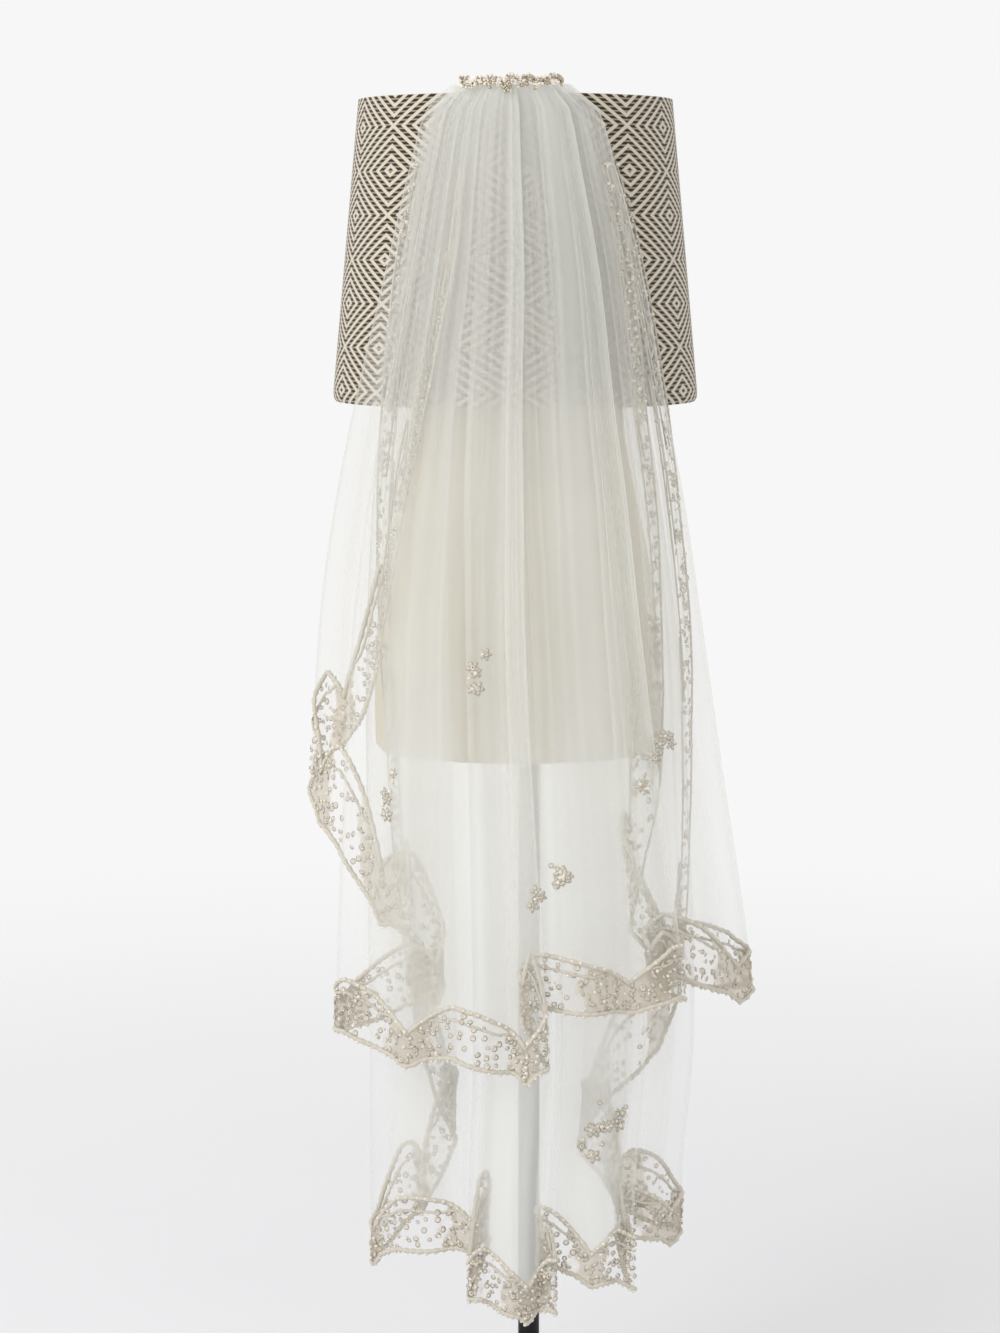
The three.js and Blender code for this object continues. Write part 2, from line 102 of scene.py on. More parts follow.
# A row of folds gives the share of the cut's width, the place across the outline, the depth of the cloth
# before and after the fold, the length of the cloth and the share of the gathers' height after the fold.
FOLD_COLUMNS = ("share", "across", "before", "after", "length", "gathered")
UPPER_LEVELS = [
    (0, -54, 44, 191.6, 191.6, 0.2, 0),
    (16, -72, 62, 193.4, 193.4, 0.21, 0.05),
    (30, -89, 80, 195.2, 195.2, 0.22, 0.1),
    (86, -106, 97, 203.2, 203.2, 0.25, 0.4),
    (197, -133, 126, 219, 219, 0.31, 0.9),
    (341, -168, 152, 240, 240, 0.38, 1.6),
    (430, -187, 170, 250, 250, 0.43, 2.2),
    (560, -210, 192, 264, 264, 0.6, 3.2),
    (735, -227, 222, 280, 280, 0.85, 4.5),
    (918, -240, 254, 291, 294, 1, 5.6),
    (1080, -248, 274, 298, 308, 1.1, 6.2),
]
UPPER_FOLDS = [
    (0, 0.26, 40, 40, 150, 0),
    (0.045, 0.22, 39, 39, 300, 0),
    (0.085, 0.18, 38, 38, 450, 0),
    (0.13, 0.125, 38, 38, 630, 0.2),
    (0.185, -0.038, 37, 26, 745, 0.3),
    (0.28, 0.323, 26, 17.5, 936, 0.3),
    (0.36, 0.083, 17, 8, 994, 1),
    (0.525, 0.547, 0, 9, 1022, 0),
    (0.562, 0.49, 9, 19, 962, 1),
    (0.665, 0.849, 2, 14, 962, 0),
    (0.702, 0.782, 14, 23, 930, 0.8),
    (0.775, 1.038, 18, 28, 978, 0.3),
    (0.85, 0.767, 31.5, 39, 888, 0.2),
    (0.9, 0.9, 41, 41, 712, 0),
    (0.925, 0.93, 41, 41, 630, 0),
    (0.95, 0.96, 41, 41, 440, 0),
    (0.975, 0.99, 42, 42, 280, 0),
    (1, 1.02, 42, 42, 150, 0),
]
LOWER_LEVELS = [
    (0, -46, 32, 181.6, 181.6, 0.2, 0),
    (16, -60, 46, 183.3, 183.3, 0.21, 0.05),
    (30, -70, 58, 184.9, 184.9, 0.22, 0.1),
    (86, -88, 78, 191.2, 191.2, 0.25, 0.3),
    (197, -108, 103, 203.7, 203.7, 0.31, 0.7),
    (341, -131, 129, 219.8, 219.8, 0.38, 1.2),
    (430, -142, 143, 229, 229, 0.42, 1.6),
    (646, -152, 172, 237, 238, 0.62, 2.6),
    (1024, -155, 195, 240, 250, 1, 4.6),
    (1190, -157, 183, 241, 250, 1.1, 5.4),
    (1330, -157, 184, 242, 252, 1.2, 6),
]
LOWER_FOLDS = [
    (0, -0.14, 44, 44, 150, 0),
    (0.05, -0.05, 43, 43, 480, 0),
    (0.09, 0.02, 43, 43, 850, 0),
    (0.13, 0.08, 42, 42, 1015, 0.2),
    (0.19, 0.235, 40, 31, 1128, 0.3),
    (0.27, -0.056, 28, 18, 1258, 0.8),
    (0.37, 0.378, 20, 11, 1226, 0),
    (0.405, 0.306, 11, 3, 1284, 1),
    (0.515, 0.589, 0, 8, 1300, 0),
    (0.55, 0.527, 8, 18, 1246, 1),
    (0.65, 0.85, 2, 14, 1284, 0),
    (0.685, 0.795, 14, 23, 1230, 0.6),
    (0.745, 1.055, 19, 28, 1242, 0.3),
    (0.83, 0.68, 30, 38, 1125, 0.2),
    (0.9, 1.04, 41, 41, 990, 0),
    (0.93, 1.09, 42, 42, 880, 0),
    (0.965, 1.15, 43, 43, 480, 0),
    (1, 1.2, 44, 44, 150, 0),
]

# Fine columns that a tier is worked out on, and how many of them a fold's corner is rounded over
FINE = 4000
FOLD_ROUNDING = 11
# Small uneven ripples of the cloth: share of the gathers' height, number of them across the cut, phase
RIPPLES = [(0.3, 13.7, 0.4), (0.26, 23.3, 1.9), (0.2, 37.9, 0.7), (0.1, 58.3, 2.6)]
# Columns and rows of points on a tier's sheet, how its rows crowd to the top, and its lap on the lace in mm
SHEET = {"columns": 1300, "rows": 72, "crowding": 0.85, "lap": 1.5}

# Layers of net in one drawn layer: the step it is measured over, the most, and how it grows with the fullness
LAYERS = {"step": 0.0012, "most": 7, "growth": 0.85, "fewest": 0.3}
# Near the comb the gathers stand on edge and are spread evenly, down to these drops in millimetres, and thin
# out to a share at the sides of the outline
CRUSHED = 1.2
GATHER_ENDS = (180, 620)
SIDES_THIN = {"from": -0.04, "to": 0.14, "share": 0.35}
# Places across the outline where the passes of the folded cloth are counted
PASS_PLACES = np.linspace(-0.3, 1.3, 161)
# Where the net looks thicker, as half widths in shares of the cut and layers added: its folds, fine upright
# creases that fade out down the cloth, and wide soft ones; drops are in millimetres
FULL_GATHERS = (200, 800)
FOLD_CREASE = {"layers": 2.5, "width": 0.0024}
FINE_CREASES = {"count": 110, "width": (0.0016, 0.0036), "wander": (-0.006, 0.006), "layers": (0.2, 1.3)}
FINE_FADE = {"drops": (420, 900), "share": 0.8}
WIDE_CREASES = {"count": 40, "width": (0.006, 0.02), "layers": (-0.6, 0.65)}

# How the lace lies, in millimetres: width of the side strips, bulge and shape of its scallops, the slant at
# which an edge is a side edge, and the columns that the part's source measures the edge on
LACE_SIDE = (26, 58)
LACE_BULGE = 9
SCALLOP = {"shift": 0.35, "roundness": 0.7}
SIDE_SLANT = (2, 3)
COLUMNS = {"per_cut": 104, "edge_step": 75, "fewest": 4}
# Pointed leaf that hangs below the outer edge at each neck: millimetres, share of a repeat, uneven length
LEAF_TIP = {"length": 11, "spread": 0.08, "mean": 0.7, "change": 0.3, "rate": 1.7}
# The closely embroidered part round each neck, in shares of a repeat: its reach, how that changes along the
# lace, its soft edge and the two waves that make it uneven
DENSE = {"reach": 0.25, "change": 0.09, "rate": 1.1, "widest": 14.5, "soft": 0.04, "side_loss": 0.6}
DENSE_WAVES = [(0.035, 19, 7, 0), (0.03, 47, -11, 1)]
LACE_GRID = {"columns": 1800, "rows": 13}
LACE_STEP = 0.0006

# Cords, in millimetres: steps along a cord, one turn of its strands; then how much the strands bulge, how
# deep the arc in each lobe lies, and how much finer the cords are on the side edges and in the arc
CORD_STEP = 1.9
CORD_TWIST = 6.5
CORD = {"bulge": 0.24, "sides": 6, "outer_loss": 0.55, "inner_loss": 0.65, "arc_size": 0.62}
ARC = {"depth": 0.24, "ends": (0.06, 0.3)}

# Trimmings strewn over the lace: gaps along and across it in millimetres, share kept in the lobes and what
# the dense parts add to it, lift off the cloth in millimetres
STREWN = {
    "petals": {"gaps": (6.5, 6.5), "kept": 0, "dense": 0.75, "lift": 0.6},
    "pearls": {"gaps": (8, 8), "kept": 0.1, "dense": 0.45, "lift": 1.6},
    "sequins": {"gaps": (9.5, 9), "kept": 0.82, "dense": -0.45, "lift": 1},
}
# How they are strewn: bare ends in repeats, first row, unevenness, bare border in mm, loss on the side edges
STREWING = {"ends": 0.3, "first": 0.6, "uneven": 0.36, "border": 4, "side_loss": 0.5}
# Ranges of their sizes: petals in millimetres, the others as shares of the size that a user sets
PETAL_SIZE = (3.2, 4.8)
PEARL_SIZE = (0.65, 1.1)
SEQUIN_SIZE = (0.7, 1.1)
SEQUIN_LEAN = 0.22
# Pearls along both cords: gap in millimetres, bare ends and unevenness in repeats, loss on the side edges
EDGE_PEARLS = {"gap": 7.5, "ends": 0.2, "uneven": 0.02, "side_loss": 0.9}
# How far up the lace and out of it they sit from the outer and from the inner cord, in millimetres
OUTER_PEARL = (-2.6, 0)
INNER_PEARL = (0.8, 1.8)
PETAL = {"sides": 8, "rise": 0.3, "stretch": 2}

# Bead sprigs on the tiers: tier, place seen from the front in millimetres, size across and up
SPRIGS = [
    ("upper", -58, 886, 16, 46),
    ("upper", -148, 754, 12, 50),
    ("upper", 17, 662, 34, 46),
    ("upper", 138, 799, 30, 26),
    ("upper", 118, 771, 14, 30),
    ("lower", 79, 387, 50, 60),
]
# Beads of a sprig: the fewest, area for each more in square millimetres, its curve and spread across, share
# of pearls, range of sizes, size of its sequins, lift off the cloth in millimetres
SPRIG = {"fewest": 5, "area": 150, "curve": 0.35, "bend": 6, "spread": 0.32, "pearls": 0.55}
SPRIG_BEADS = {"size": (0.75, 1.2), "sequin": 0.85, "lift": 1.5}
# A sprig's blossoms: petals each, their size and lift in millimetres, how far out they sit, how slim they are
BLOSSOM = {"petals": 5, "size": (3, 4.5), "lift": -0.6, "out": 0.9, "stretch": 1.7}

# The ribbon on the comb, in millimetres: distance out of the band and height of its corners, and its columns
RIBBON = [(1, 1477.5), (1, 1486), (-1, 1486), (-1, 1477.5)]
RIBBON_COLUMNS = 49
# Beads heaped on the ribbon, in millimetres: waves of the heap's middle and of its half height, as height,
# rate and phase; a cluster in the middle that is taller and hangs lower; lift off the ribbon and radius
HEAP = {"count": 250, "half": 5.4, "lift": (1.4, 3.2), "radius": (1.1, 2.3), "pearls": 0.5}
HEAP_MIDDLE = [(1.3, 0.21, 0), (0.9, 0.47, 1)]
HEAP_SWELL = [(1.5, 0.33, 2)]
CLUSTER = {"width": 9, "taller": 2.6, "lower": 2}

# Share of a thread's light that comes through it from behind
LIT_THROUGH = 0.55
# The net's threads: how far from a cell's edge they reach, and how much denser they are than the cells
NET = {"thread": 0.3, "contrast": 0.07}
# The shade's diamonds, in millimetres: half sizes, stripes from a diamond's middle to its point, and the
# weft's picks, which are finer in the real cloth and drawn this coarse to show
DIAMOND = {"half_width": 72.6, "half_height": 46.3, "stripes": 4.5, "pick": 4.4}
# Where a diamond of the shade's cloth lies, in millimetres round the drum and up it
WRAP_SHIFT = (82, -50)
# Ribs of the knitted cloths, in millimetres; too fine to show, so they are drawn this many times coarser
RIB = {"cotton_jersey": 1.6, "shade_lining": 0.9, "satin_ribbon": 0.8}
RIBS_COARSER = 10
# Sizes of the other patterns, in millimetres. The stitches and the strands of the cord are a little coarser
# than real ones, so that they show.
GRAIN = {
    "tulle_cloud": 71.43,
    "stitch": 4.5,
    "silk_cloud": 22.22,
    "strand": 1.9635,
    "pearl_cloud": 7.143,
    "wool_fuzz": 1.4286,
    "jersey_cloud": 111.1,
    "paper_cloud": 333.3,
    "foil_stamping": 3.846,
    "orange_peel": 1.111,
    "drawing_marks": 2.381,
    "flow_marks": 16.67,
}
# Hard finishes: the pattern that makes the polish uneven, its detail, the range of roughness, other sockets
# of the shader, and the strength and height in millimetres of its relief
HARD_FINISHES = {
    # Foiled plastic of the sequins: a soft champagne gleam, a little uneven from stamping
    "foiled_sequin": {
        "grain": "foil_stamping", "detail": 2, "rough": (0.14, 0.42), "sockets": {"Metallic": 0.3}
    },
    # Foil behind the comb's crystals: mirror-like with a champagne tint
    "foiled_crystal": {
        "grain": "foil_stamping", "detail": 2, "rough": (0.14, 0.42), "sockets": {"Metallic": 0.8}
    },
    # Powder-coated steel: satin black with a fine orange peel that breaks up its reflections
    "powder_coated_steel": {
        "grain": "orange_peel", "detail": 2, "rough": (0.34, 0.56), "sockets": {}, "relief": (0.2, 0.3)
    },
    # Nickel-plated steel wire: bright metal with fine drawing marks and a slightly uneven polish
    "plated_wire": {
        "grain": "drawing_marks", "detail": 3, "rough": (0.18, 0.4), "sockets": {"Metallic": 1}
    },
    # Moulded acrylic: clear with an ivory cast, smooth and glossy with faint flow marks
    "moulded_acrylic": {
        "grain": "flow_marks",
        "detail": 1,
        "rough": (0.08, 0.22),
        "sockets": {"IOR": 1.49, "Transmission Weight": 0.5},
    },
}
# Settings of the nodes that come up often
RGBA = {"data_type": "RGBA"}
SMOOTH = {"interpolation_type": "SMOOTHSTEP"}
TIMES = {"operation": "MULTIPLY"}

# The studio's floor, in metres: half its width, and where it starts and ends fading into the bright studio
FLOOR = {"half": 8, "near": 0.3, "far": 3.4}
# The studio's soft lights, in metres: place, the point that each faces, and their size
LIGHTS = {"key": ((-2.4, -2.4, 2.7), (0, 0, 0.9)), "fill": ((2.3, -2.3, 1.9), (0, 0, 0.8))}
LIGHT_SIZE = 2.4
# Layers of sheer cloth that light may pass
SHEER_LAYERS = 48
# The photograph's camera, in metres, degrees and millimetres
CAMERA = {"place": (-0.0327, -3.4, 1.31), "tilt": 7.67, "lens": 83.5, "sensor": 36}


def to_linear(colour):
    """Turn an sRGB hex value such as "efece2" into linear red, green and blue."""
    channels = [int(colour[i:i + 2], 16) / 255 for i in (0, 2, 4)]
    return tuple(c / 12.92 if c <= 0.04045 else ((c + 0.055) / 1.055) ** 2.4 for c in channels)


def colour_property(name, description, colour):
    """A colour that a user would change, from its sRGB hex value."""
    return bpy.props.FloatVectorProperty(
        name=name, description=description, subtype="COLOR", size=3, min=0, max=1, default=to_linear(colour)
    )


def number_property(name, description, default, **kind):
    """A number from nought up that a user would change."""
    return bpy.props.FloatProperty(name=name, description=description, default=default, min=0, **kind)


def length_property(name, description, metres):
    """A size that a user would change."""
    return number_property(name, description, metres, precision=4, unit="LENGTH")


class VeilSizes(bpy.types.PropertyGroup):
    """Sizes of the veil's cloth, lace and beads."""

    cut_width: length_property("Cut width", "Width that each tier of tulle was cut to", 1.4)
    # Cells of a real net are nearer a millimetre wide, and are drawn this coarse to show
    net_cell: length_property("Net cell", "Width of a cell of the tulle's net", 0.0019)
    lace_repeat: length_property("Lace repeat", "Length of one scallop of the lace", 0.104)
    lace_lobe: length_property("Lace lobe", "Width of the lace at its lobes", 0.056)
    lace_neck: length_property("Lace neck", "Width of the lace between its lobes", 0.025)
    cord: length_property("Cord", "Diameter of the cord that outlines the lace", 0.005)
    pearl: length_property("Pearl", "Diameter of a pearl on the lace", 0.0044)
    sequin: length_property("Sequin", "Diameter of a sequin on the lace", 0.0068)
    single_cover: number_property(
        "Single cover",
        "Share of the view that one flat layer of tulle covers",
        0.119,
        max=1,
        subtype="FACTOR",
    )


class VeilColours(bpy.types.PropertyGroup):
    """Colours of the veil and its stand."""

    tulle: colour_property("Tulle", "Ivory nylon of the net", "f1f1ed")
    lace: colour_property("Lace cord", "Champagne ivory of the lace's cord", "dcd5c5")
    lace_net: colour_property("Lace net", "Ivory ground of the lace", "efede7")
    embroidery: colour_property("Embroidery", "Champagne silk of the lace's dense parts", "e9dfce")
    pearl: colour_property("Pearl", "Ivory of the pearls", "e8dfd1")
    sequin: colour_property("Sequin", "Champagne of the sequins", "d3cabb")
    crystal: colour_property("Crystal", "Champagne foil behind the comb's crystals", "b3a793")
    comb: colour_property("Comb", "Ivory cast of the comb's acrylic", "e8e4da")
    twill_brown: colour_property("Twill brown", "Dark yarn of the shade's twill", "2e2318")
    twill_cream: colour_property("Twill cream", "Light yarn of the shade's twill", "d2c8b5")
    form: colour_property("Form", "Cream jersey of the form", "c4b798")
    lining: colour_property("Lining", "Pale lining inside the shade", "e3dccb")
    black: colour_property("Black", "Powder coat of the pole and base", "1b1b1e")
    wire: colour_property("Wire", "Plated wire of the shade's spider", "c9c9c6")


class StageSettings(bpy.types.PropertyGroup):
    """The studio round the veil."""

    paper: colour_property("Paper", "Pale paper of the floor", "e2e2e4")
    key_power: number_property("Key power", "Power of the large soft light", 70, unit="POWER")
    fill_power: number_property("Fill power", "Power of the soft light opposite", 5, unit="POWER")
    sky_strength: number_property("Sky strength", "Strength of the even light from all round", 0.93)


def add_node(tree, kind, settings=None, sockets=None, out=0):
    """Add a node with its settings, and set each socket to a value or link it from another node's socket."""
    node = tree.nodes.new(f"ShaderNode{kind}")
    for name, value in (settings or {}).items():
        setattr(node, name, value)
    for name, value in (sockets or {}).items():
        if isinstance(value, bpy.types.NodeSocket):
            tree.links.new(value, node.inputs[name])
        else:
            node.inputs[name].default_value = value
    return node.outputs[out] if len(node.outputs) else None


def new_material(name):
    """An empty node material and its tree."""
    material = bpy.data.materials.new(name)
    material.use_nodes = True
    material.node_tree.nodes.clear()
    return material, material.node_tree


def per_metre(pattern):
    """A pattern's scale from its size in millimetres."""
    return 1 / (GRAIN[pattern] * MM)


def shades(colour, share):
    """A darker shade of a colour and the colour itself, as the two colours of a mix."""
    return {"A": (*[share * c for c in colour], 1), "B": (*colour, 1)}


def sheer(tree, front, colour, alpha):
    """Send a cloth's shader to the surface with the light that its threads let through and its open gaps."""
    glow = add_node(tree, "BsdfTranslucent", None, {"Color": colour})
    thread = add_node(tree, "MixShader", None, {0: LIT_THROUGH, 1: front, 2: glow})
    gaps = add_node(tree, "BsdfTransparent")
    cloth = add_node(tree, "MixShader", None, {0: alpha, 1: gaps, 2: thread})
    add_node(tree, "OutputMaterial", None, {"Surface": cloth})


def nylon_net(colour, cell):
    """Nylon net: matt ivory threads round small open cells, sheer in one layer and milky where gathered."""
    material, tree = new_material("nylon_tulle")
    cut = add_node(tree, "UVMap", {"uv_map": "cut"})
    to_edge = {"feature": "DISTANCE_TO_EDGE", "voronoi_dimensions": "2D"}
    cells = add_node(tree, "TexVoronoi", to_edge, {"Scale": 1 / cell, "Randomness": 1, "Vector": cut})
    dense = 1 + NET["contrast"]
    open_cell = 1 - NET["contrast"]
    fall = {"From Max": NET["thread"], "To Min": dense, "To Max": open_cell, "Value": cells}
    threads = add_node(tree, "MapRange", None, fall)
    cover = add_node(tree, "Attribute", {"attribute_name": "cover"}, None, "Fac")
    alpha = add_node(tree, "Math", {**TIMES, "use_clamp": True}, {0: cover, 1: threads})
    cloud = add_node(tree, "TexNoise", None, {"Scale": per_metre("tulle_cloud"), "Detail": 2, "Vector": cut})
    tint = add_node(tree, "Mix", RGBA, {**shades(colour, 0.94), "Factor": cloud}, "Result")
    finish = {"Roughness": 0.75, "Sheen Weight": 0.1, "Specular IOR Level": 0.2}
    shader = add_node(tree, "BsdfPrincipled", None, {**finish, "Base Color": tint})
    sheer(tree, shader, tint, alpha)
    return material


def embroidered_net(ground, silk):
    """Lace ground: a sheer pale net, filled with matt champagne stitches where it is closely embroidered."""
    material, tree = new_material("embroidered_net")
    cut = add_node(tree, "UVMap", {"uv_map": "cut"})
    dense = add_node(tree, "Attribute", {"attribute_name": "dense"}, None, "Fac")
    spread = {"Scale": per_metre("stitch"), "Randomness": 1, "Vector": cut}
    stitches = add_node(tree, "TexVoronoi", {"voronoi_dimensions": "2D"}, spread)
    worn = add_node(tree, "MapRange", None, {"To Min": 1, "To Max": 0.72, "Value": stitches})
    filled = add_node(tree, "Math", TIMES, {0: dense, 1: worn})
    alpha = add_node(tree, "MapRange", None, {"To Min": 0.2, "To Max": 0.88, "Value": filled})
    cloud = add_node(tree, "TexNoise", None, {"Scale": per_metre("silk_cloud"), "Detail": 2, "Vector": cut})
    thread = add_node(tree, "Mix", RGBA, {**shades(silk, 0.7), "Factor": cloud}, "Result")
    colour = add_node(tree, "Mix", RGBA, {"A": (*ground, 1), "B": thread, "Factor": dense}, "Result")
    bump = add_node(tree, "Bump", None, {"Strength": 0.5, "Distance": 1 * MM, "Height": stitches})
    finish = {"Roughness": 0.7, "Sheen Weight": 0.15, "Specular IOR Level": 0.25}
    shader = add_node(tree, "BsdfPrincipled", None, {**finish, "Base Color": colour, "Normal": bump})
    sheer(tree, shader, colour, alpha)
    return material


def satin_cord(colour):
    """Rayon cord: two twisted strands with a soft satin gleam, and painted shade that darkens the grooves
    between them.
    """
    material, tree = new_material("rayon_cord")
    place = add_node(tree, "UVMap", {"uv_map": "cord"})
    bands = {"bands_direction": "DIAGONAL", "wave_profile": "SIN"}
    # The cord's map is in millimetres, and a diagonal wave turns ten times as fast as its scale says
    strands = {"Scale": 2 * math.pi / (10 * GRAIN["strand"]), "Distortion": 0.6, "Detail": 1}
    twist = add_node(tree, "TexWave", bands, {**strands, "Vector": place}, "Fac")
    # Painted shade: the colour darkens along the grooves between the strands, on top of their bump
    shade = add_node(tree, "Mix", RGBA, {**shades(colour, 0.75), "Factor": twist}, "Result")
    bump = add_node(tree, "Bump", None, {"Strength": 0.6, "Distance": 0.8 * MM, "Height": twist})
    finish = {"Roughness": 0.5, "Sheen Weight": 0.25, "Specular IOR Level": 0.4}
    shader = add_node(tree, "BsdfPrincipled", None, {**finish, "Base Color": shade, "Normal": bump})
    add_node(tree, "OutputMaterial", None, {"Surface": shader})
    return material


def pearl_lacquer(colour):
    """Imitation pearl: a smooth lacquered bead with a soft glow under a clear coat and faint clouds."""
    material, tree = new_material("pearl_lacquer")
    place = add_node(tree, "TexCoord", out="Object")
    clouds = {"Scale": per_metre("pearl_cloud"), "Detail": 1, "Vector": place}
    cloud = add_node(tree, "TexNoise", None, clouds)
    tint = add_node(tree, "Mix", RGBA, {**shades(colour, 0.72), "Factor": cloud}, "Result")
    finish = {"Roughness": 0.28, "Coat Weight": 0.7, "Coat Roughness": 0.08, "Sheen Weight": 0.1}
    shader = add_node(tree, "BsdfPrincipled", None, {**finish, "Base Color": tint})
    add_node(tree, "OutputMaterial", None, {"Surface": shader})
    return material


def hard_finish(name, colour):
    """A hard material with a slightly uneven polish, from its row of the hard finishes."""
    row = HARD_FINISHES[name]
    material, tree = new_material(name)
    place = add_node(tree, "TexCoord", out="Object")
    grain = {"Scale": per_metre(row["grain"]), "Detail": row["detail"], "Vector": place}
    uneven = add_node(tree, "TexNoise", None, grain)
    low, high = row["rough"]
    rough = add_node(tree, "MapRange", None, {"To Min": low, "To Max": high, "Value": uneven})
    sockets = {"Base Color": (*colour, 1), "Roughness": rough, **row["sockets"]}
    if "relief" in row:
        strength, height = row["relief"]
        relief = {"Strength": strength, "Distance": height * MM, "Height": uneven}
        sockets["Normal"] = add_node(tree, "Bump", None, relief)
    shader = add_node(tree, "BsdfPrincipled", None, sockets)
    add_node(tree, "OutputMaterial", None, {"Surface": shader})
    return material


def diamond_twill(brown, cream):
    """Wool goose-eye twill: nested brown and cream diamonds of raised yarn, with pale flecks in the brown."""
    material, tree = new_material("goose_eye_twill")
    wrap = add_node(tree, "UVMap", {"uv_map": "wrap"})
    round_it = add_node(tree, "SeparateXYZ", None, {"Vector": wrap})
    up_it = round_it.node.outputs["Y"]
    shares = []
    for place, half in ((round_it, DIAMOND["half_width"] * MM), (up_it, DIAMOND["half_height"] * MM)):
        saw = add_node(tree, "Math", {"operation": "PINGPONG"}, {0: place, 1: half})
        shares.append(add_node(tree, "Math", {"operation": "DIVIDE"}, {0: saw, 1: half}))
    distance = add_node(tree, "Math", {"operation": "ADD"}, {0: shares[0], 1: shares[1]})
    turns = add_node(tree, "Math", TIMES, {0: distance, 1: 2 * math.pi * DIAMOND["stripes"]})
    wave = add_node(tree, "Math", {"operation": "COSINE"}, {0: turns})
    stripe = add_node(tree, "MapRange", SMOOTH, {"From Min": -0.4, "From Max": 0.05, "Value": wave})
    picks = add_node(tree, "Math", TIMES, {0: up_it, 1: 2 * math.pi / (DIAMOND["pick"] * MM)})
    tooth = add_node(tree, "Math", {"operation": "COSINE"}, {0: picks})
    fleck = add_node(tree, "MapRange", SMOOTH, {"From Max": 0.9, "Value": tooth})
    fuzz = add_node(tree, "TexNoise", None, {"Scale": per_metre("wool_fuzz"), "Detail": 2, "Vector": wrap})
    speck = [0.4 * b + 0.45 * c for b, c in zip(brown, cream)]
    flecked = add_node(tree, "Mix", RGBA, {"A": (*brown, 1), "B": (*speck, 1), "Factor": fleck}, "Result")
    pale = add_node(tree, "Mix", RGBA, {**shades(cream, 0.78), "Factor": fuzz}, "Result")
    colour = add_node(tree, "Mix", RGBA, {"A": pale, "B": flecked, "Factor": stripe}, "Result")
    height = add_node(tree, "Math", {"operation": "SUBTRACT"}, {0: fuzz, 1: stripe})
    bump = add_node(tree, "Bump", None, {"Strength": 0.5, "Distance": 0.8 * MM, "Height": height})
    finish = {"Roughness": 0.9, "Sheen Weight": 0.15, "Specular IOR Level": 0.2}
    shader = add_node(tree, "BsdfPrincipled", None, {**finish, "Base Color": colour, "Normal": bump})
    add_node(tree, "OutputMaterial", None, {"Surface": shader})
    return material


def knitted_jersey(name, colour):
    """Knitted cotton: soft, matt and cream, with upright ribs and faint cloudy shade."""
    material, tree = new_material(name)
    place = add_node(tree, "TexCoord", out="Object")
    # A wave with upright bands turns twenty times as fast as its scale says
    scale = 2 * math.pi / (20 * RIB[name] * RIBS_COARSER * MM)
    knit = {"Scale": scale, "Distortion": 1.5, "Detail": 2, "Detail Scale": 2, "Vector": place}
    ribs = add_node(tree, "TexWave", {"bands_direction": "X"}, knit, "Fac")
    clouds = {"Scale": per_metre("jersey_cloud"), "Detail": 3, "Vector": place}
    cloud = add_node(tree, "TexNoise", None, clouds)
    tint = add_node(tree, "Mix", RGBA, {**shades(colour, 0.88), "Factor": cloud}, "Result")
    bump = add_node(tree, "Bump", None, {"Strength": 0.25, "Distance": 0.5 * MM, "Height": ribs})
    finish = {"Roughness": 0.85, "Sheen Weight": 0.2, "Specular IOR Level": 0.2}
    shader = add_node(tree, "BsdfPrincipled", None, {**finish, "Base Color": tint, "Normal": bump})
    add_node(tree, "OutputMaterial", None, {"Surface": shader})
    return material


def studio_paper(colour):
    """Pale matt paper with a faint cloud in its colour, fading into the bright studio all round."""
    material, tree = new_material("studio_paper")
    place = add_node(tree, "TexCoord", out="Object")
    clouds = {"Scale": per_metre("paper_cloud"), "Detail": 2, "Vector": place}
    cloud = add_node(tree, "TexNoise", None, clouds)
    tint = add_node(tree, "Mix", RGBA, {**shades(colour, 0.97), "Factor": cloud}, "Result")
    finish = {"Roughness": 0.95, "Specular IOR Level": 0.1}
    sheet = add_node(tree, "BsdfPrincipled", None, {**finish, "Base Color": tint})
    away = add_node(tree, "VectorMath", {"operation": "LENGTH"}, {0: place}, "Value")
    ends = {"From Min": FLOOR["near"], "From Max": FLOOR["far"], "To Min": 1, "To Max": 0}
    fade = add_node(tree, "MapRange", SMOOTH, {**ends, "Value": away})
    beyond = add_node(tree, "BsdfTransparent")
    floor = add_node(tree, "MixShader", None, {0: fade, 1: beyond, 2: sheet})
    add_node(tree, "OutputMaterial", None, {"Surface": floor})
    return material


def through_rows(x, y):
    """A smooth curve through the rows of a table that never overshoots them, straight past its end."""
    slope = np.diff(y) / np.diff(x)
    tangent = np.concatenate([slope[:1], np.zeros(len(x) - 2), slope[-1:]])
    product = slope[:-1] * slope[1:]
    total = np.where(product > 0, slope[:-1] + slope[1:], 1)
    tangent[1:-1] = np.where(product > 0, 2 * product / total, 0)

    def curve(at):
        at = np.asarray(at, dtype=float)
        i = np.clip(np.searchsorted(x, at, side="right") - 1, 0, len(x) - 2)
        span = x[i + 1] - x[i]
        t = np.minimum((at - x[i]) / span, 1)
        a = 2 * t**3 - 3 * t**2 + 1
        rise = span * (tangent[i] * (t**3 - 2 * t**2 + t) + tangent[i + 1] * (t**3 - t**2))
        return a * y[i] + (1 - a) * y[i + 1] + rise + np.maximum(at - x[-1], 0) * tangent[-1]

    return curve


def smoothed(values, spread):
    """A row of values with its corners rounded over a number of steps."""
    reach = int(3 * spread)
    weight = np.exp(-0.5 * (np.arange(-reach, reach + 1) / spread) ** 2)
    padded = np.pad(values, reach, mode="reflect", reflect_type="odd")
    return np.convolve(padded, weight / weight.sum(), mode="valid")


def smoothstep(value, low, high):
    """0 below low, 1 above high and smooth between."""
    t = np.clip((value - low) / (high - low), 0, 1)
    return t * t * (3 - 2 * t)


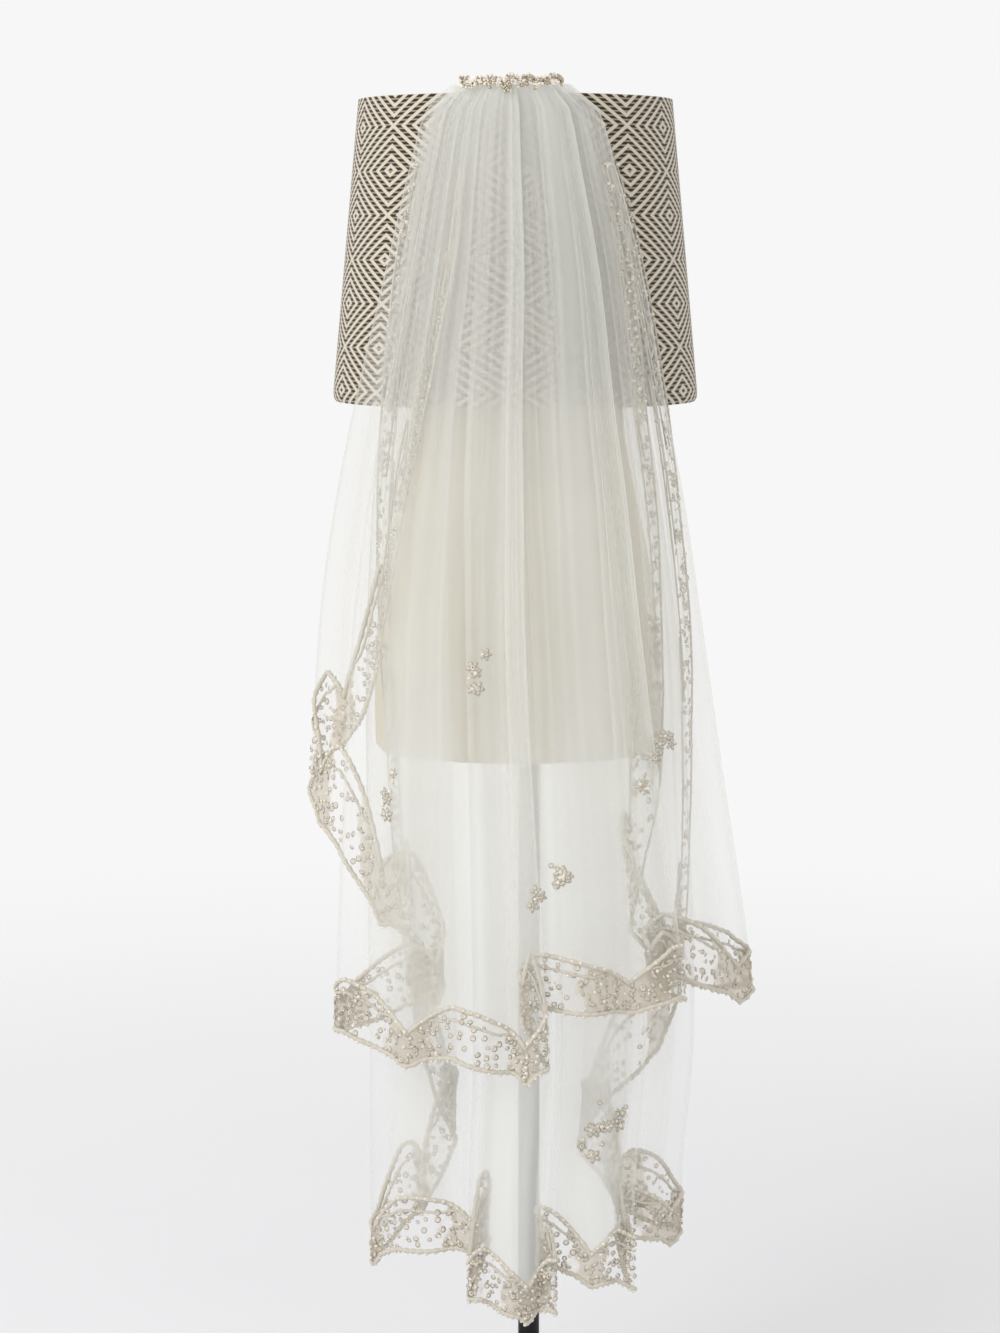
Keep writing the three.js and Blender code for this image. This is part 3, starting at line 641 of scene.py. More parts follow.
def hill(away, width):
    """1 in the middle, falling smoothly to nothing over about twice the width on both sides."""
    return np.exp(-((away / width) ** 2))


def waves(rows, at):
    """The sum of several waves, each with its height, rate and phase."""
    return sum(high * np.sin(rate * at + turn) for high, rate, turn in rows)


def unit(vectors):
    """Vectors of length one."""
    return vectors / np.maximum(np.linalg.norm(vectors, axis=-1, keepdims=True), 1e-12)


def from_neck(turns):
    """How far along a repeat of the lace its nearest neck is: 0 at a neck, a half in a lobe's middle."""
    phase = (turns + SCALLOP["shift"]) % 1
    return np.minimum(phase, 1 - phase)


def neck_number(turns):
    """The number of the nearest neck along the lace."""
    return np.floor(turns + SCALLOP["shift"] + 0.5)


class HangingTier:
    """One tier of the veil: where its cloth and its lace hang, from its tables of levels and folds."""

    def __init__(self, name, gathers, fullness, levels, folds, sizes):
        self.name = name
        self.fullness = fullness
        self.gathers = gathers
        self.cut = sizes.cut_width / MM
        self.repeat = sizes.lace_repeat / MM
        self.lobe = sizes.lace_lobe / MM
        self.neck = sizes.lace_neck / MM
        level = dict(zip(LEVEL_COLUMNS, np.array(levels, dtype=float).T))
        self.level = {key: through_rows(level["drop"], level[key]) for key in LEVEL_COLUMNS[1:]}
        self.fold = dict(zip(FOLD_COLUMNS, np.array(folds, dtype=float).T))
        self.length = through_rows(self.fold["share"], self.fold["length"])
        self.fine = np.linspace(0, 1, FINE + 1)
        self.round_folds()
        self.measure_edge()

    def round_folds(self):
        """Work out each fine column's place across the outline and its depth, with round folds."""
        fold = self.fold
        i = np.clip(np.searchsorted(fold["share"], self.fine, side="right") - 1, 0, len(fold["share"]) - 2)
        t = (self.fine - fold["share"][i]) / (fold["share"][i + 1] - fold["share"][i])
        slowed = t / 2 + (1 - np.cos(np.pi * t)) / 4
        across = fold["across"][i] + (fold["across"][i + 1] - fold["across"][i]) * slowed
        behind = fold["after"][i] + (fold["before"][i + 1] - fold["after"][i]) * t
        self.across = smoothed(across, FOLD_ROUNDING)
        self.behind = smoothed(behind, FOLD_ROUNDING)
        self.gathered = fold["gathered"][i] * np.sin(np.pi * t)

    def measure_edge(self):
        """Measure the cut's edge on the same columns as the part's source, so that the scallops agree."""
        share = []
        fold = self.fold
        for i in range(len(fold["share"]) - 1):
            width = fold["share"][i + 1] - fold["share"][i]
            by_edge = abs(fold["length"][i + 1] - fold["length"][i]) / COLUMNS["edge_step"]
            count = int(max(COLUMNS["fewest"], width * COLUMNS["per_cut"], by_edge) + 0.5)
            share.extend(fold["share"][i] + width * np.arange(count) / count)
        self.edge_share = np.array([*share, 1.0])
        length = self.length(self.edge_share)
        steps = np.hypot(np.diff(self.edge_share) * self.cut, np.diff(length))
        self.edge_turns = np.concatenate([[0], np.cumsum(steps)]) / self.repeat
        before = np.maximum(np.arange(len(length)) - 1, 0)
        after = np.minimum(np.arange(len(length)) + 1, len(length) - 1)
        run = (self.edge_share[after] - self.edge_share[before]) * self.cut
        self.edge_slant = np.hypot(1, (length[after] - length[before]) / run)

    def share_at(self, turns):
        """The share of the cut's width at repeats along the lace."""
        return np.interp(turns, self.edge_turns, self.edge_share)

    def place(self, share, drop):
        """Points of the cloth in metres, for shares of the cut's width and drops below the comb's top."""
        across = np.interp(share, self.fine, self.across)
        behind = np.interp(share, self.fine, self.behind)
        gathered = np.interp(share, self.fine, self.gathered)
        left = self.level["left"](drop)
        x = left + (self.level["right"](drop) - left) * across
        angle = np.arcsin(x / self.level["side"](drop))
        pleat = np.sin(2 * np.pi * self.gathers * share)
        wave = self.level["wave"](drop) * (gathered * pleat + waves(RIPPLES, 2 * np.pi * share))
        inward = behind * self.level["nest"](drop) - wave
        y = -self.level["front"](drop) * np.cos(angle) + inward * np.cos(angle)
        points = [SHADE["x"] + x - inward * np.sin(angle), y, COMB["top"] - drop]
        return np.stack(points, axis=-1) * MM

    def lace(self, share):
        """The lace's repeats along the edge, its outer and inner edge as drops, the edge's slant and how far
        it is a side edge."""
        turns = np.interp(share, self.edge_share, self.edge_turns)
        slant = np.interp(share, self.edge_share, self.edge_slant)
        on_side = smoothstep(slant, *SIDE_SLANT)
        lobe = np.abs(np.sin(np.pi * (turns + SCALLOP["shift"]))) ** SCALLOP["roundness"]
        uneven = LEAF_TIP["mean"] + LEAF_TIP["change"] * np.sin(LEAF_TIP["rate"] * neck_number(turns))
        tip = LEAF_TIP["length"] * uneven * hill(from_neck(turns), LEAF_TIP["spread"]) * (1 - on_side)
        outer = self.length(share) + LACE_BULGE * (np.abs(np.sin(np.pi * turns)) - 1) + tip
        hem = self.neck + (self.lobe - self.neck) * lobe
        side = LACE_SIDE[0] + (LACE_SIDE[1] - LACE_SIDE[0]) * lobe
        width = (hem + (side - hem) * on_side) * slant + tip
        inner = np.maximum(outer - width, TULLE_TOP + TOP_CLEARANCE)
        return turns, outer, inner, slant, on_side

    def lace_frame(self, turns, depth):
        """Places on the lace for repeats along it and shares of its width from the outer edge, with the
        directions along it, up it and out of the cloth."""
        share = self.share_at(turns)
        _, outer, inner, _, _ = self.lace(share)
        drop = outer + (inner - outer) * depth
        here = self.place(share, drop)
        along = unit(self.place(share + LACE_STEP, drop) - self.place(share - LACE_STEP, drop))
        up = unit(self.place(share, drop - 1) - self.place(share, drop + 1))
        out = unit(np.cross(along, up))
        return here, along, unit(np.cross(out, along)), out

    def full_layers(self, share, drop):
        """How many layers of cloth lie in one drawn layer, because the cut is gathered into less width."""
        step = LAYERS["step"]
        drawn = np.linalg.norm(self.place(share + step, drop) - self.place(share - step, drop), axis=-1)
        local = np.clip(2 * step * self.cut * MM / np.maximum(drawn, 1e-6), 1, LAYERS["most"])
        across = np.interp(share, self.fine, self.across)
        width = self.level["right"](drop) - self.level["left"](drop)
        inside = smoothstep(np.minimum(across, 1 - across), SIDES_THIN["from"], SIDES_THIN["to"])
        thinned = SIDES_THIN["share"] + (1 - SIDES_THIN["share"]) * inside
        even = CRUSHED * self.cut / width / self.passes(across) * thinned
        return even + (local - even) * smoothstep(drop, *GATHER_ENDS)

    def passes(self, across):
        """How often the folded cloth passes a place across the outline."""
        low = np.minimum(self.across[:-1], self.across[1:])
        high = np.maximum(self.across[:-1], self.across[1:])
        count = np.array([np.count_nonzero((low <= at) & (at < high)) for at in PASS_PLACES])
        return np.interp(across, PASS_PLACES, np.maximum(smoothed(count.astype(float), 2), 1))


def make_tiers(sizes):
    """Both tiers of the veil, each with its number of gathers and how much thicker they make it."""
    upper = HangingTier("upper", 22, 5, UPPER_LEVELS, UPPER_FOLDS, sizes)
    lower = HangingTier("lower", 20, 11, LOWER_LEVELS, LOWER_FOLDS, sizes)
    return upper, lower


def creases(tier, share, drop, random):
    """How much thicker the net looks in its gathers, along its folds and its upright creases."""
    gathered = np.maximum(2 * np.interp(share, tier.fine, tier.gathered) - 1, 0)
    layers = 1 + tier.fullness * gathered * smoothstep(drop, *FULL_GATHERS)
    for middle in tier.fold["share"][1:-1]:
        layers += FOLD_CREASE["layers"] * hill(share - middle, FOLD_CREASE["width"])
    fading = 1 - FINE_FADE["share"] * smoothstep(drop, *FINE_FADE["drops"])
    for _ in range(FINE_CREASES["count"]):
        middle = random.uniform(0, 1)
        width = random.uniform(*FINE_CREASES["width"])
        wander = random.uniform(*FINE_CREASES["wander"]) * drop * MM
        strength = random.uniform(*FINE_CREASES["layers"])
        layers += strength * fading * hill(share - middle - wander, width)
    for _ in range(WIDE_CREASES["count"]):
        middle = random.uniform(0, 1)
        width = random.uniform(*WIDE_CREASES["width"])
        strength = random.uniform(*WIDE_CREASES["layers"])
        layers += strength * hill(share - middle, width)
    return np.maximum(layers, LAYERS["fewest"])


def embroidered(turns, depth):
    """Where the lace is closely embroidered: round its necks, with an uneven edge towards the lobes."""
    edge = sum(h * np.sin(along * turns + deep * depth + turn) for h, along, deep, turn in DENSE_WAVES)
    change = DENSE["change"] * np.cos(DENSE["rate"] * (neck_number(turns) - DENSE["widest"]))
    reach = DENSE["reach"] + change
    return 1 - smoothstep(from_neck(turns) + edge, reach - DENSE["soft"], reach + DENSE["soft"])


def settle(piece):
    """Let a piece ride on the stand."""
    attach(piece, BODY)


def add_piece(name, points, faces, material, smooth=True):
    """A mesh object at the origin from points in metres, riding on the stand."""
    mesh = bpy.data.meshes.new(name)
    mesh.from_pydata(np.asarray(points).reshape(-1, 3).tolist(), [], faces)
    mesh.validate()
    mesh.polygons.foreach_set("use_smooth", [smooth] * len(mesh.polygons))
    mesh.materials.append(material)
    piece = bpy.data.objects.new(name, mesh)
    bpy.context.scene.collection.objects.link(piece)
    settle(piece)
    return piece


def set_uv(piece, name, per_point):
    """Give a piece a UV map from one pair of numbers for each of its points."""
    mesh = piece.data
    layer = mesh.uv_layers.new(name=name)
    index = np.empty(len(mesh.loops), dtype=np.int32)
    mesh.loops.foreach_get("vertex_index", index)
    layer.data.foreach_set("uv", np.asarray(per_point).reshape(-1, 2)[index].ravel())


def set_values(piece, name, values):
    """Give a piece a number at each of its points, for its material to read."""
    attribute = piece.data.attributes.new(name, "FLOAT", "POINT")
    attribute.data.foreach_set("value", np.asarray(values).ravel())


def grid_faces(columns, rows, round_columns=False, round_rows=False):
    """Four-sided faces over a grid of points kept column by column, closed round either way."""
    faces = []
    for i in range(columns if round_columns else columns - 1):
        a = i * rows
        b = (i + 1) % columns * rows
        for j in range(rows if round_rows else rows - 1):
            n = (j + 1) % rows
            faces.append((a + j, a + n, b + n, b + j))
    return faces


def flipped(faces):
    """Faces that look the other way."""
    return [tuple(reversed(face)) for face in faces]


def circle(sides):
    """The angles of points spread evenly round a circle."""
    return 2 * np.pi * np.arange(sides) / sides


def tube(path, normals, radius, sides):
    """Points and faces of a round cord along a path, with closed ends and a map of its length and turn."""
    tangent = unit(np.gradient(path, axis=0))
    out = unit(normals - tangent * np.sum(normals * tangent, axis=1, keepdims=True))
    over = np.cross(tangent, out)
    angle = circle(sides)[None, :, None]
    ring = np.cos(angle) * out[:, None] + np.sin(angle) * over[:, None]
    points = path[:, None] + ring * radius[:, None, None]
    count = len(path)
    faces = grid_faces(count, sides, round_rows=True)
    faces.append(tuple(reversed(range(sides))))
    faces.append(tuple(range((count - 1) * sides, count * sides)))
    length = np.concatenate([[0], np.cumsum(np.linalg.norm(np.diff(path, axis=0), axis=1))])
    turn = np.abs(np.arange(sides) / sides - 0.5) * 2 * math.pi * np.mean(radius) / MM
    uv = np.stack(np.broadcast_arrays(length[:, None] / MM, turn[None]), axis=-1)
    return points.reshape(-1, 3), faces, uv.reshape(-1, 2)


def bead_shape(segments=6, rings=4):
    """A small round bead of radius one, with few faces."""
    points = [(0, 0, 1)]
    for j in range(1, rings):
        polar = math.pi * j / rings
        wide = math.sin(polar)
        for k in range(segments):
            turn = 2 * math.pi * (k + 0.5 * (j % 2)) / segments
            points.append((wide * math.cos(turn), wide * math.sin(turn), math.cos(polar)))
    points.append((0, 0, -1))
    last = len(points) - 1
    faces = [(0, 1 + k, 1 + (k + 1) % segments) for k in range(segments)]
    for j in range(rings - 2):
        a = 1 + j * segments
        for k in range(segments):
            n = (k + 1) % segments
            faces.append((a + k, a + segments + k, a + segments + n, a + n))
    low = 1 + (rings - 2) * segments
    faces.extend((last, low + (k + 1) % segments, low + k) for k in range(segments))
    return np.array(points), faces


def petal_shape(stretch):
    """A thin closed almond of length one, domed on both faces."""
    sides = PETAL["sides"]
    angle = circle(sides)
    rim = np.stack([np.cos(angle), np.sin(angle) / stretch, np.zeros(sides)], axis=1)
    points = np.concatenate([rim, [[0, 0, PETAL["rise"]], [0, 0, -PETAL["rise"]]]])
    faces = []
    for k in range(sides):
        n = (k + 1) % sides
        faces.append((k, n, sides))
        faces.append((n, k, sides + 1))
    return points, faces


def sequin_shape(sides=8, hole=0.3):
    """A cupped sequin of radius one with a hole in its middle, with few faces."""
    angle = circle(sides)
    profile = ((1, 0.14), (hole, -0.02), (hole, -0.14))
    rings = [np.stack([r * np.cos(angle), r * np.sin(angle), np.full(sides, z)], axis=1) for r, z in profile]
    return np.concatenate(rings), grid_faces(3, sides, True, True)


def scatter(shape, places, sizes):
    """Points and faces of many copies of a small shape, each with its own place, directions and size."""
    points, faces = shape
    origin, *directions = places
    size = np.asarray(sizes)[:, None, None]
    spread = sum(points[None, :, i:i + 1] * directions[i][:, None] for i in range(3))
    everything = (origin[:, None] + spread * size).reshape(-1, 3)
    count = len(points)
    copies = [tuple(v + k * count for v in face) for k in range(len(origin)) for face in faces]
    return everything, copies


def all_places(groups):
    """Several groups of places as one."""
    return [np.concatenate(values) for values in zip(*groups)]


def turned_about(places, angle):
    """Places with their along and up directions turned in the cloth by an angle each."""
    origin, along, up, out = places
    c = np.cos(angle)[:, None]
    s = np.sin(angle)[:, None]
    return origin, along * c + up * s, up * c - along * s, out


def moved(places, along_by, up_by, out_by):
    """Places moved by distances in metres along their own directions."""
    origin, *directions = places
    steps = [np.reshape(by, (-1, 1)) for by in (along_by, up_by, out_by)]
    shift = sum(direction * step for direction, step in zip(directions, steps))
    return (origin + shift, *directions)


def joined_meshes(parts):
    """Points and faces of several meshes as one."""
    points = []
    faces = []
    first = 0
    for part_points, part_faces in parts:
        points.append(part_points)
        faces.extend(tuple(v + first for v in face) for face in part_faces)
        first += len(part_points)
    return np.concatenate(points), faces


def add_petals(name, stretch, places, sizes):
    """Worked petals in the cord's silk, each at its place with its own size"""
    points, faces = scatter(petal_shape(stretch), places, sizes)
    # The cord's silk brings its painted shade with it, as darker stripes across each petal
    petals = add_piece(name, points, faces, bpy.data.materials["rayon_cord"])
    set_uv(petals, "cord", np.stack([points[:, 0] / MM, points[:, 2] / MM], axis=-1))


def select_only(piece):
    """Deselect everything and make one piece the active one."""
    bpy.ops.object.select_all(action="DESELECT")
    piece.select_set(True)
    bpy.context.view_layer.objects.active = piece


def turned_piece(name, outline, x, sides, filled=True):
    """A turned piece: a circle drawn up from corner to corner of its outline, as on a lathe."""
    bpy.ops.object.select_all(action="DESELECT")
    radius, low = outline[0]
    bpy.ops.mesh.primitive_circle_add(
        vertices=sides,
        radius=radius * MM,
        fill_type="NGON" if filled else "NOTHING",
        location=(x * MM, 0, low * MM),
        enter_editmode=True,
    )
    for next_radius, height in outline[1:]:
        bpy.ops.mesh.extrude_region_move(TRANSFORM_OT_translate={"value": (0, 0, (height - low) * MM)})
        scale = next_radius / radius
        bpy.ops.transform.resize(value=(scale, scale, 1), center_override=(x * MM, 0, height * MM))
        radius = next_radius
        low = height
    bpy.ops.mesh.select_all(action="SELECT")
    bpy.ops.mesh.normals_make_consistent(inside=False)
    bpy.ops.object.mode_set(mode="OBJECT")
    piece = bpy.context.active_object
    piece.name = name
    bpy.ops.object.transform_apply(location=True, rotation=True, scale=True)
    return piece


def bevelled(piece, width, segments):
    """Round a piece's sharp edges by a width in millimetres and shade it smooth."""
    select_only(piece)
    modifier = piece.modifiers.new("bevel", "BEVEL")
    modifier.width = width * MM
    modifier.segments = segments
    modifier.limit_method = "ANGLE"
    modifier.angle_limit = math.radians(BEVEL_ANGLE)
    bpy.ops.object.modifier_apply(modifier=modifier.name)
    bpy.ops.object.shade_smooth_by_angle(angle=math.radians(CRISP_ANGLE))


def finish_metal(material, pieces):
    """Give turned metal pieces their material, each in place of its node."""
    for piece, node in pieces:
        piece.data.materials.append(material)
        settle(piece)
        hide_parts(node)


class VEIL_OT_base_and_pole(bpy.types.Operator):
    """Turn the round base plate with its collar, and the pole"""

    bl_idname = "veil.base_and_pole"
    bl_label = "Base and pole"

    def execute(self, context):
        steel = hard_finish("powder_coated_steel", context.scene.veil_colours.black)
        base = turned_piece("base_plate", BASE_OUTLINE, 0, 96)
        bevelled(base, 1.2, 3)
        pole = turned_piece("pole_tube", POLE_OUTLINE, 0, 48)
        bevelled(pole, 0.8, 2)
        finish_metal(steel, ((base, "stand_base"), (pole, "stand_pole")))
        return {"FINISHED"}


class VEIL_OT_form(bpy.types.Operator):
    """Shape the padded dress form from its levels, with the seams of its cover"""

    bl_idname = "veil.form"
    bl_label = "Dress form"

    def execute(self, context):
        points, faces = self.cover()
        jersey = knitted_jersey("cotton_jersey", context.scene.veil_colours.form)
        form = add_piece("form_cover", points, faces, jersey)
        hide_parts("form_body")
        return {"FINISHED"}

    def cover(self):
        """Points and faces of the cover, ring by ring, closed by a flat underside and the tip of the neck"""
        level, half_width, half_depth = np.array(FORM_LEVELS, dtype=float).T
        height = np.concatenate([np.linspace(*ring) for ring in FORM_RINGS])
        angle = circle(FORM_SIDES)
        apart = np.abs((np.degrees(angle)[:, None] - np.array(FORM_SEAMS)[None] + 180) % 360 - 180)
        seam = SEAM["depth"] * hill(apart.min(axis=1), SEAM["spread"])[:, None]
        x = FORM_X + np.cos(angle)[:, None] * (through_rows(level, half_width)(height)[None] - seam)
        y = np.sin(angle)[:, None] * (through_rows(level, half_depth)(height)[None] - seam)
        points = np.stack([x, y, np.broadcast_to(height, x.shape)], axis=-1).reshape(-1, 3)
        rows = len(height)
        faces = flipped(grid_faces(FORM_SIDES, rows, round_columns=True))
        under = len(points)
        for k in range(FORM_SIDES):
            n = (k + 1) % FORM_SIDES
            faces.append((under, n * rows, k * rows))
            faces.append((under + 1, k * rows + rows - 1, n * rows + rows - 1))
        ends = [[FORM_X, 0, height[0]], [FORM_X, 0, FORM_TIP]]
        return np.concatenate([points, ends]) * MM, faces


class VEIL_OT_shade(bpy.types.Operator):
    """Make the shade's drum in diamond twill with a pale lining, and the spider and rod that carry it"""

    bl_idname = "veil.shade"
    bl_label = "Shade, spider and rod"

    def execute(self, context):
        colours = context.scene.veil_colours
        twill = diamond_twill(colours.twill_brown, colours.twill_cream)
        self.add_drum(twill, knitted_jersey("shade_lining", colours.lining))
        self.add_spider(hard_finish("plated_wire", colours.wire))
        return {"FINISHED"}

    def add_drum(self, twill, lining):
        """The tapered drum, rounded in at its lower rim, with its pattern wrapped round it"""
        ends = [SHADE["bottom"], SHADE["top"]]
        radii = np.interp(SHADE_RINGS, ends, [SHADE["bottom_radius"], SHADE["top_radius"]])
        outline = [*SHADE_RIM, *zip(radii.tolist(), SHADE_RINGS)]
        drum = turned_piece("shade_cloth", outline, SHADE["x"], 160, filled=False)
        self.wrap(drum)
        drum.data.materials.append(twill)
        drum.data.materials.append(lining)
        select_only(drum)
        wall = drum.modifiers.new("wall", "SOLIDIFY")
        wall.thickness = SHADE["wall"] * MM
        wall.offset = -1
        wall.material_offset = 1
        bpy.ops.object.modifier_apply(modifier=wall.name)
        bpy.ops.object.shade_smooth_by_angle(angle=math.radians(SHADE_CRISP_ANGLE))
        settle(drum)
        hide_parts("shade_drum")

    def wrap(self, drum):
        """Lay the cloth's own map round the drum, in metres, joined at the back"""
        mesh = drum.data
        layer = mesh.uv_layers.new(name="wrap")
        mean = (SHADE["top_radius"] + SHADE["bottom_radius"]) / 2 * MM
        for polygon in mesh.polygons:
            middle = polygon.center
            facing = math.atan2(middle.x - SHADE["x"] * MM, -middle.y)
            for loop in polygon.loop_indices:
                point = mesh.vertices[mesh.loops[loop].vertex_index].co
                turn = math.atan2(point.x - SHADE["x"] * MM, -point.y)
                turn += 2 * math.pi * round((facing - turn) / (2 * math.pi))
                layer.data[loop].uv = (turn * mean + WRAP_SHIFT[0] * MM, point.z + WRAP_SHIFT[1] * MM)

    def add_spider(self, wire):
        """The hub with its finial, three wires out to the drum and the rod down to the form"""
        hub = turned_piece("spider_wire", HUB_OUTLINE, SHADE["x"], 40)
        arms = [self.add_arm(2 * math.pi * k / SPIDER["spokes"]) for k in range(SPIDER["spokes"])]
        select_only(hub)
        for arm in arms:
            arm.select_set(True)
        bpy.ops.object.join()
        bpy.ops.object.transform_apply(location=True, rotation=True, scale=True)
        bevelled(hub, 0.6, 2)
        rod = turned_piece("shade_stem", ROD_OUTLINE, SHADE["x"], 32)
        bevelled(rod, 0.6, 2)
        finish_metal(wire, ((hub, "shade_spider"), (rod, "shade_rod")))

    def add_arm(self, turn):
        """One wire of the spider, from its hub out to the drum"""
        bpy.ops.object.select_all(action="DESELECT")
        reach = SPIDER["reach"] * MM
        x = SHADE["x"] * MM + reach / 2 * math.cos(turn)
        bpy.ops.mesh.primitive_cylinder_add(
            vertices=16,
            radius=SPIDER["wire_radius"] * MM,
            depth=reach,
            location=(x, reach / 2 * math.sin(turn), SPIDER["height"] * MM),
            rotation=(0, math.pi / 2, turn),
        )
        return bpy.context.active_object


class VEIL_OT_tulle(bpy.types.Operator):
    """Hang both tiers of tulle from the comb in their gathers and folds"""

    bl_idname = "veil.tulle"
    bl_label = "Tulle tiers"

    def execute(self, context):
        sizes = context.scene.veil_sizes
        net = nylon_net(context.scene.veil_colours.tulle, sizes.net_cell)
        for seed, tier in enumerate(make_tiers(sizes)):
            self.hang(tier, net, sizes, np.random.default_rng(11 + seed))
        return {"FINISHED"}

    def hang(self, tier, net, sizes, random):
        """One tier as a fine sheet, with its cover worked out from how far its cut is gathered"""
        share = np.linspace(0, 1, SHEET["columns"])
        inner = tier.lace(share)[2]
        down = np.linspace(0, 1, SHEET["rows"]) ** SHEET["crowding"]
        drop = TULLE_TOP + (inner[:, None] + SHEET["lap"] - TULLE_TOP) * down[None]
        wide_share = np.broadcast_to(share[:, None], drop.shape)
        faces = grid_faces(SHEET["columns"], SHEET["rows"])
        sheet = add_piece(f"tulle_{tier.name}_sheet", tier.place(wide_share, drop), faces, net)
        set_uv(sheet, "cut", np.stack([wide_share * tier.cut * MM, drop * MM], axis=-1))
        layers = tier.full_layers(wide_share, drop) ** LAYERS["growth"]
        layers = layers * creases(tier, wide_share, drop, random)
        set_values(sheet, "cover", 1 - (1 - sizes.single_cover) ** layers)
        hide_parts(f"tulle_{tier.name}")
        flat = (tier.cut * MM, float(np.max(tier.length(share))) * MM)


class VEIL_OT_lace(bpy.types.Operator):
    """Edge both tiers with corded lace, its net, petals, pearls and sequins"""

    bl_idname = "veil.lace"
    bl_label = "Lace edging"

    def execute(self, context):
        sizes = context.scene.veil_sizes
        colours = context.scene.veil_colours
        net = embroidered_net(colours.lace_net, colours.embroidery)
        cord = satin_cord(colours.lace)
        pearl = pearl_lacquer(colours.pearl)
        foil = hard_finish("foiled_sequin", colours.sequin)
        for seed, tier in enumerate(make_tiers(sizes)):
            random = np.random.default_rng(31 + seed)
            self.add_net(tier, sizes, net)
            self.add_cords(tier, sizes, cord)
            self.add_leaves(tier, random)
            self.add_pearls(tier, sizes, pearl, random)
            self.add_sequins(tier, sizes, foil, random)
        return {"FINISHED"}

    def add_net(self, tier, sizes, material):
        """The ground between the outer and the inner cord, closely embroidered between its lobes"""
        share = np.linspace(0, 1, LACE_GRID["columns"])
        turns, outer, inner, _, on_side = tier.lace(share)
        depth = np.linspace(0, 1, LACE_GRID["rows"])
        drop = outer[:, None] + (inner - outer)[:, None] * depth[None]
        wide_share = np.broadcast_to(share[:, None], drop.shape)
        faces = flipped(grid_faces(LACE_GRID["columns"], LACE_GRID["rows"]))
        net = add_piece(f"lace_{tier.name}_net", tier.place(wide_share, drop), faces, material)
        set_uv(net, "cut", np.stack([wide_share * tier.cut * MM, drop * MM], axis=-1))
        dense = embroidered(np.broadcast_to(turns[:, None], drop.shape), np.broadcast_to(depth, drop.shape))
        set_values(net, "dense", dense * (1 - DENSE["side_loss"] * on_side[:, None]))
        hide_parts(f"lace_{tier.name}")

    def add_cords(self, tier, sizes, material):
        """Cords along the outer edge and the inner edge, and a finer arc inside each lobe"""
        turns = np.arange(0, tier.edge_turns[-1], CORD_STEP / tier.repeat)
        twist = 1 + CORD["bulge"] * np.sin(2 * np.pi * turns * tier.repeat / CORD_TWIST)
        on_side = tier.lace(tier.share_at(turns))[4]
        finer = 1 - CORD["inner_loss"] * on_side
        cords = (
            (np.zeros_like(turns), 1 - CORD["outer_loss"] * on_side),
            (np.ones_like(turns), finer),
            (1 - ARC["depth"] * smoothstep(from_neck(turns), *ARC["ends"]), CORD["arc_size"] * finer),
        )
        parts = []
        maps = []
        for depth, scale in cords:
            here, _, _, out = tier.lace_frame(turns, depth)
            points, faces, uv = tube(here, out, sizes.cord / 2 * scale * twist, CORD["sides"])
            parts.append((points, faces))
            maps.append(uv)
        points, faces = joined_meshes(parts)
        piece = add_piece(f"lace_{tier.name}_cords", points, faces, material)
        set_uv(piece, "cord", np.concatenate(maps))

    def strewn(self, tier, random, kind):
        """Places strewn over the lace in uneven rows and kept by chance"""
        row = STREWN[kind]
        along_gap = row["gaps"][0] / tier.repeat
        deep_gap = row["gaps"][1]
        along = np.arange(STREWING["ends"], tier.edge_turns[-1] - STREWING["ends"], along_gap)
        deep = np.arange(STREWING["first"] * deep_gap, tier.lobe, deep_gap)
        turns, depth = (values.ravel() for values in np.meshgrid(along, deep))
        count = len(turns)
        uneven = STREWING["uneven"]
        turns = turns + random.uniform(-uneven, uneven, count) * along_gap
        depth = depth + random.uniform(-uneven, uneven, count) * deep_gap
        _, outer, inner, slant, on_side = tier.lace(tier.share_at(turns))
        width = (outer - inner) / slant
        inside = (depth > STREWING["border"]) & (depth < width - STREWING["border"])
        inside = inside & (random.uniform(0, 1, count) > STREWING["side_loss"] * on_side)
        depth = depth / np.maximum(width, 1)
        kept = row["kept"] + row["dense"] * embroidered(turns, depth)
        chosen = inside & (random.uniform(0, 1, count) < kept)
        return tier.lace_frame(turns[chosen], depth[chosen])

    def add_leaves(self, tier, random):
        """Small worked petals strewn close over the dense parts, turned each its own way"""
        places = self.strewn(tier, random, "petals")
        count = len(places[0])
        places = turned_about(places, random.uniform(0, math.pi, count))
        places = moved(places, 0, 0, STREWN["petals"]["lift"] * MM)
        size = random.uniform(*PETAL_SIZE, count) * MM
        add_petals(f"lace_{tier.name}_petals", PETAL["stretch"], places, size)

    def add_pearls(self, tier, sizes, material, random):
        """Pearls along the outer and the inner cord and strewn over the dense parts, a few in the lobes"""
        row = EDGE_PEARLS
        edge = np.arange(row["ends"], tier.edge_turns[-1] - row["ends"], row["gap"] / tier.repeat)
        edge = edge + random.uniform(-row["uneven"], row["uneven"], len(edge))
        on_side = tier.lace(tier.share_at(edge))[4]
        edge = edge[random.uniform(0, 1, len(edge)) > row["side_loss"] * on_side]
        groups = []
        for depth, (up, out) in ((0, OUTER_PEARL), (1, INNER_PEARL)):
            on_cord = tier.lace_frame(edge, np.full(len(edge), float(depth)))
            groups.append(moved(on_cord, 0, up * MM, out * MM))
        strewn = self.strewn(tier, random, "pearls")
        groups.append(moved(strewn, 0, 0, STREWN["pearls"]["lift"] * MM))
        places = all_places(groups)
        size = sizes.pearl / 2 * random.uniform(*PEARL_SIZE, len(places[0]))
        points, faces = scatter(bead_shape(), places, size)
        add_piece(f"lace_{tier.name}_pearls", points, faces, material)

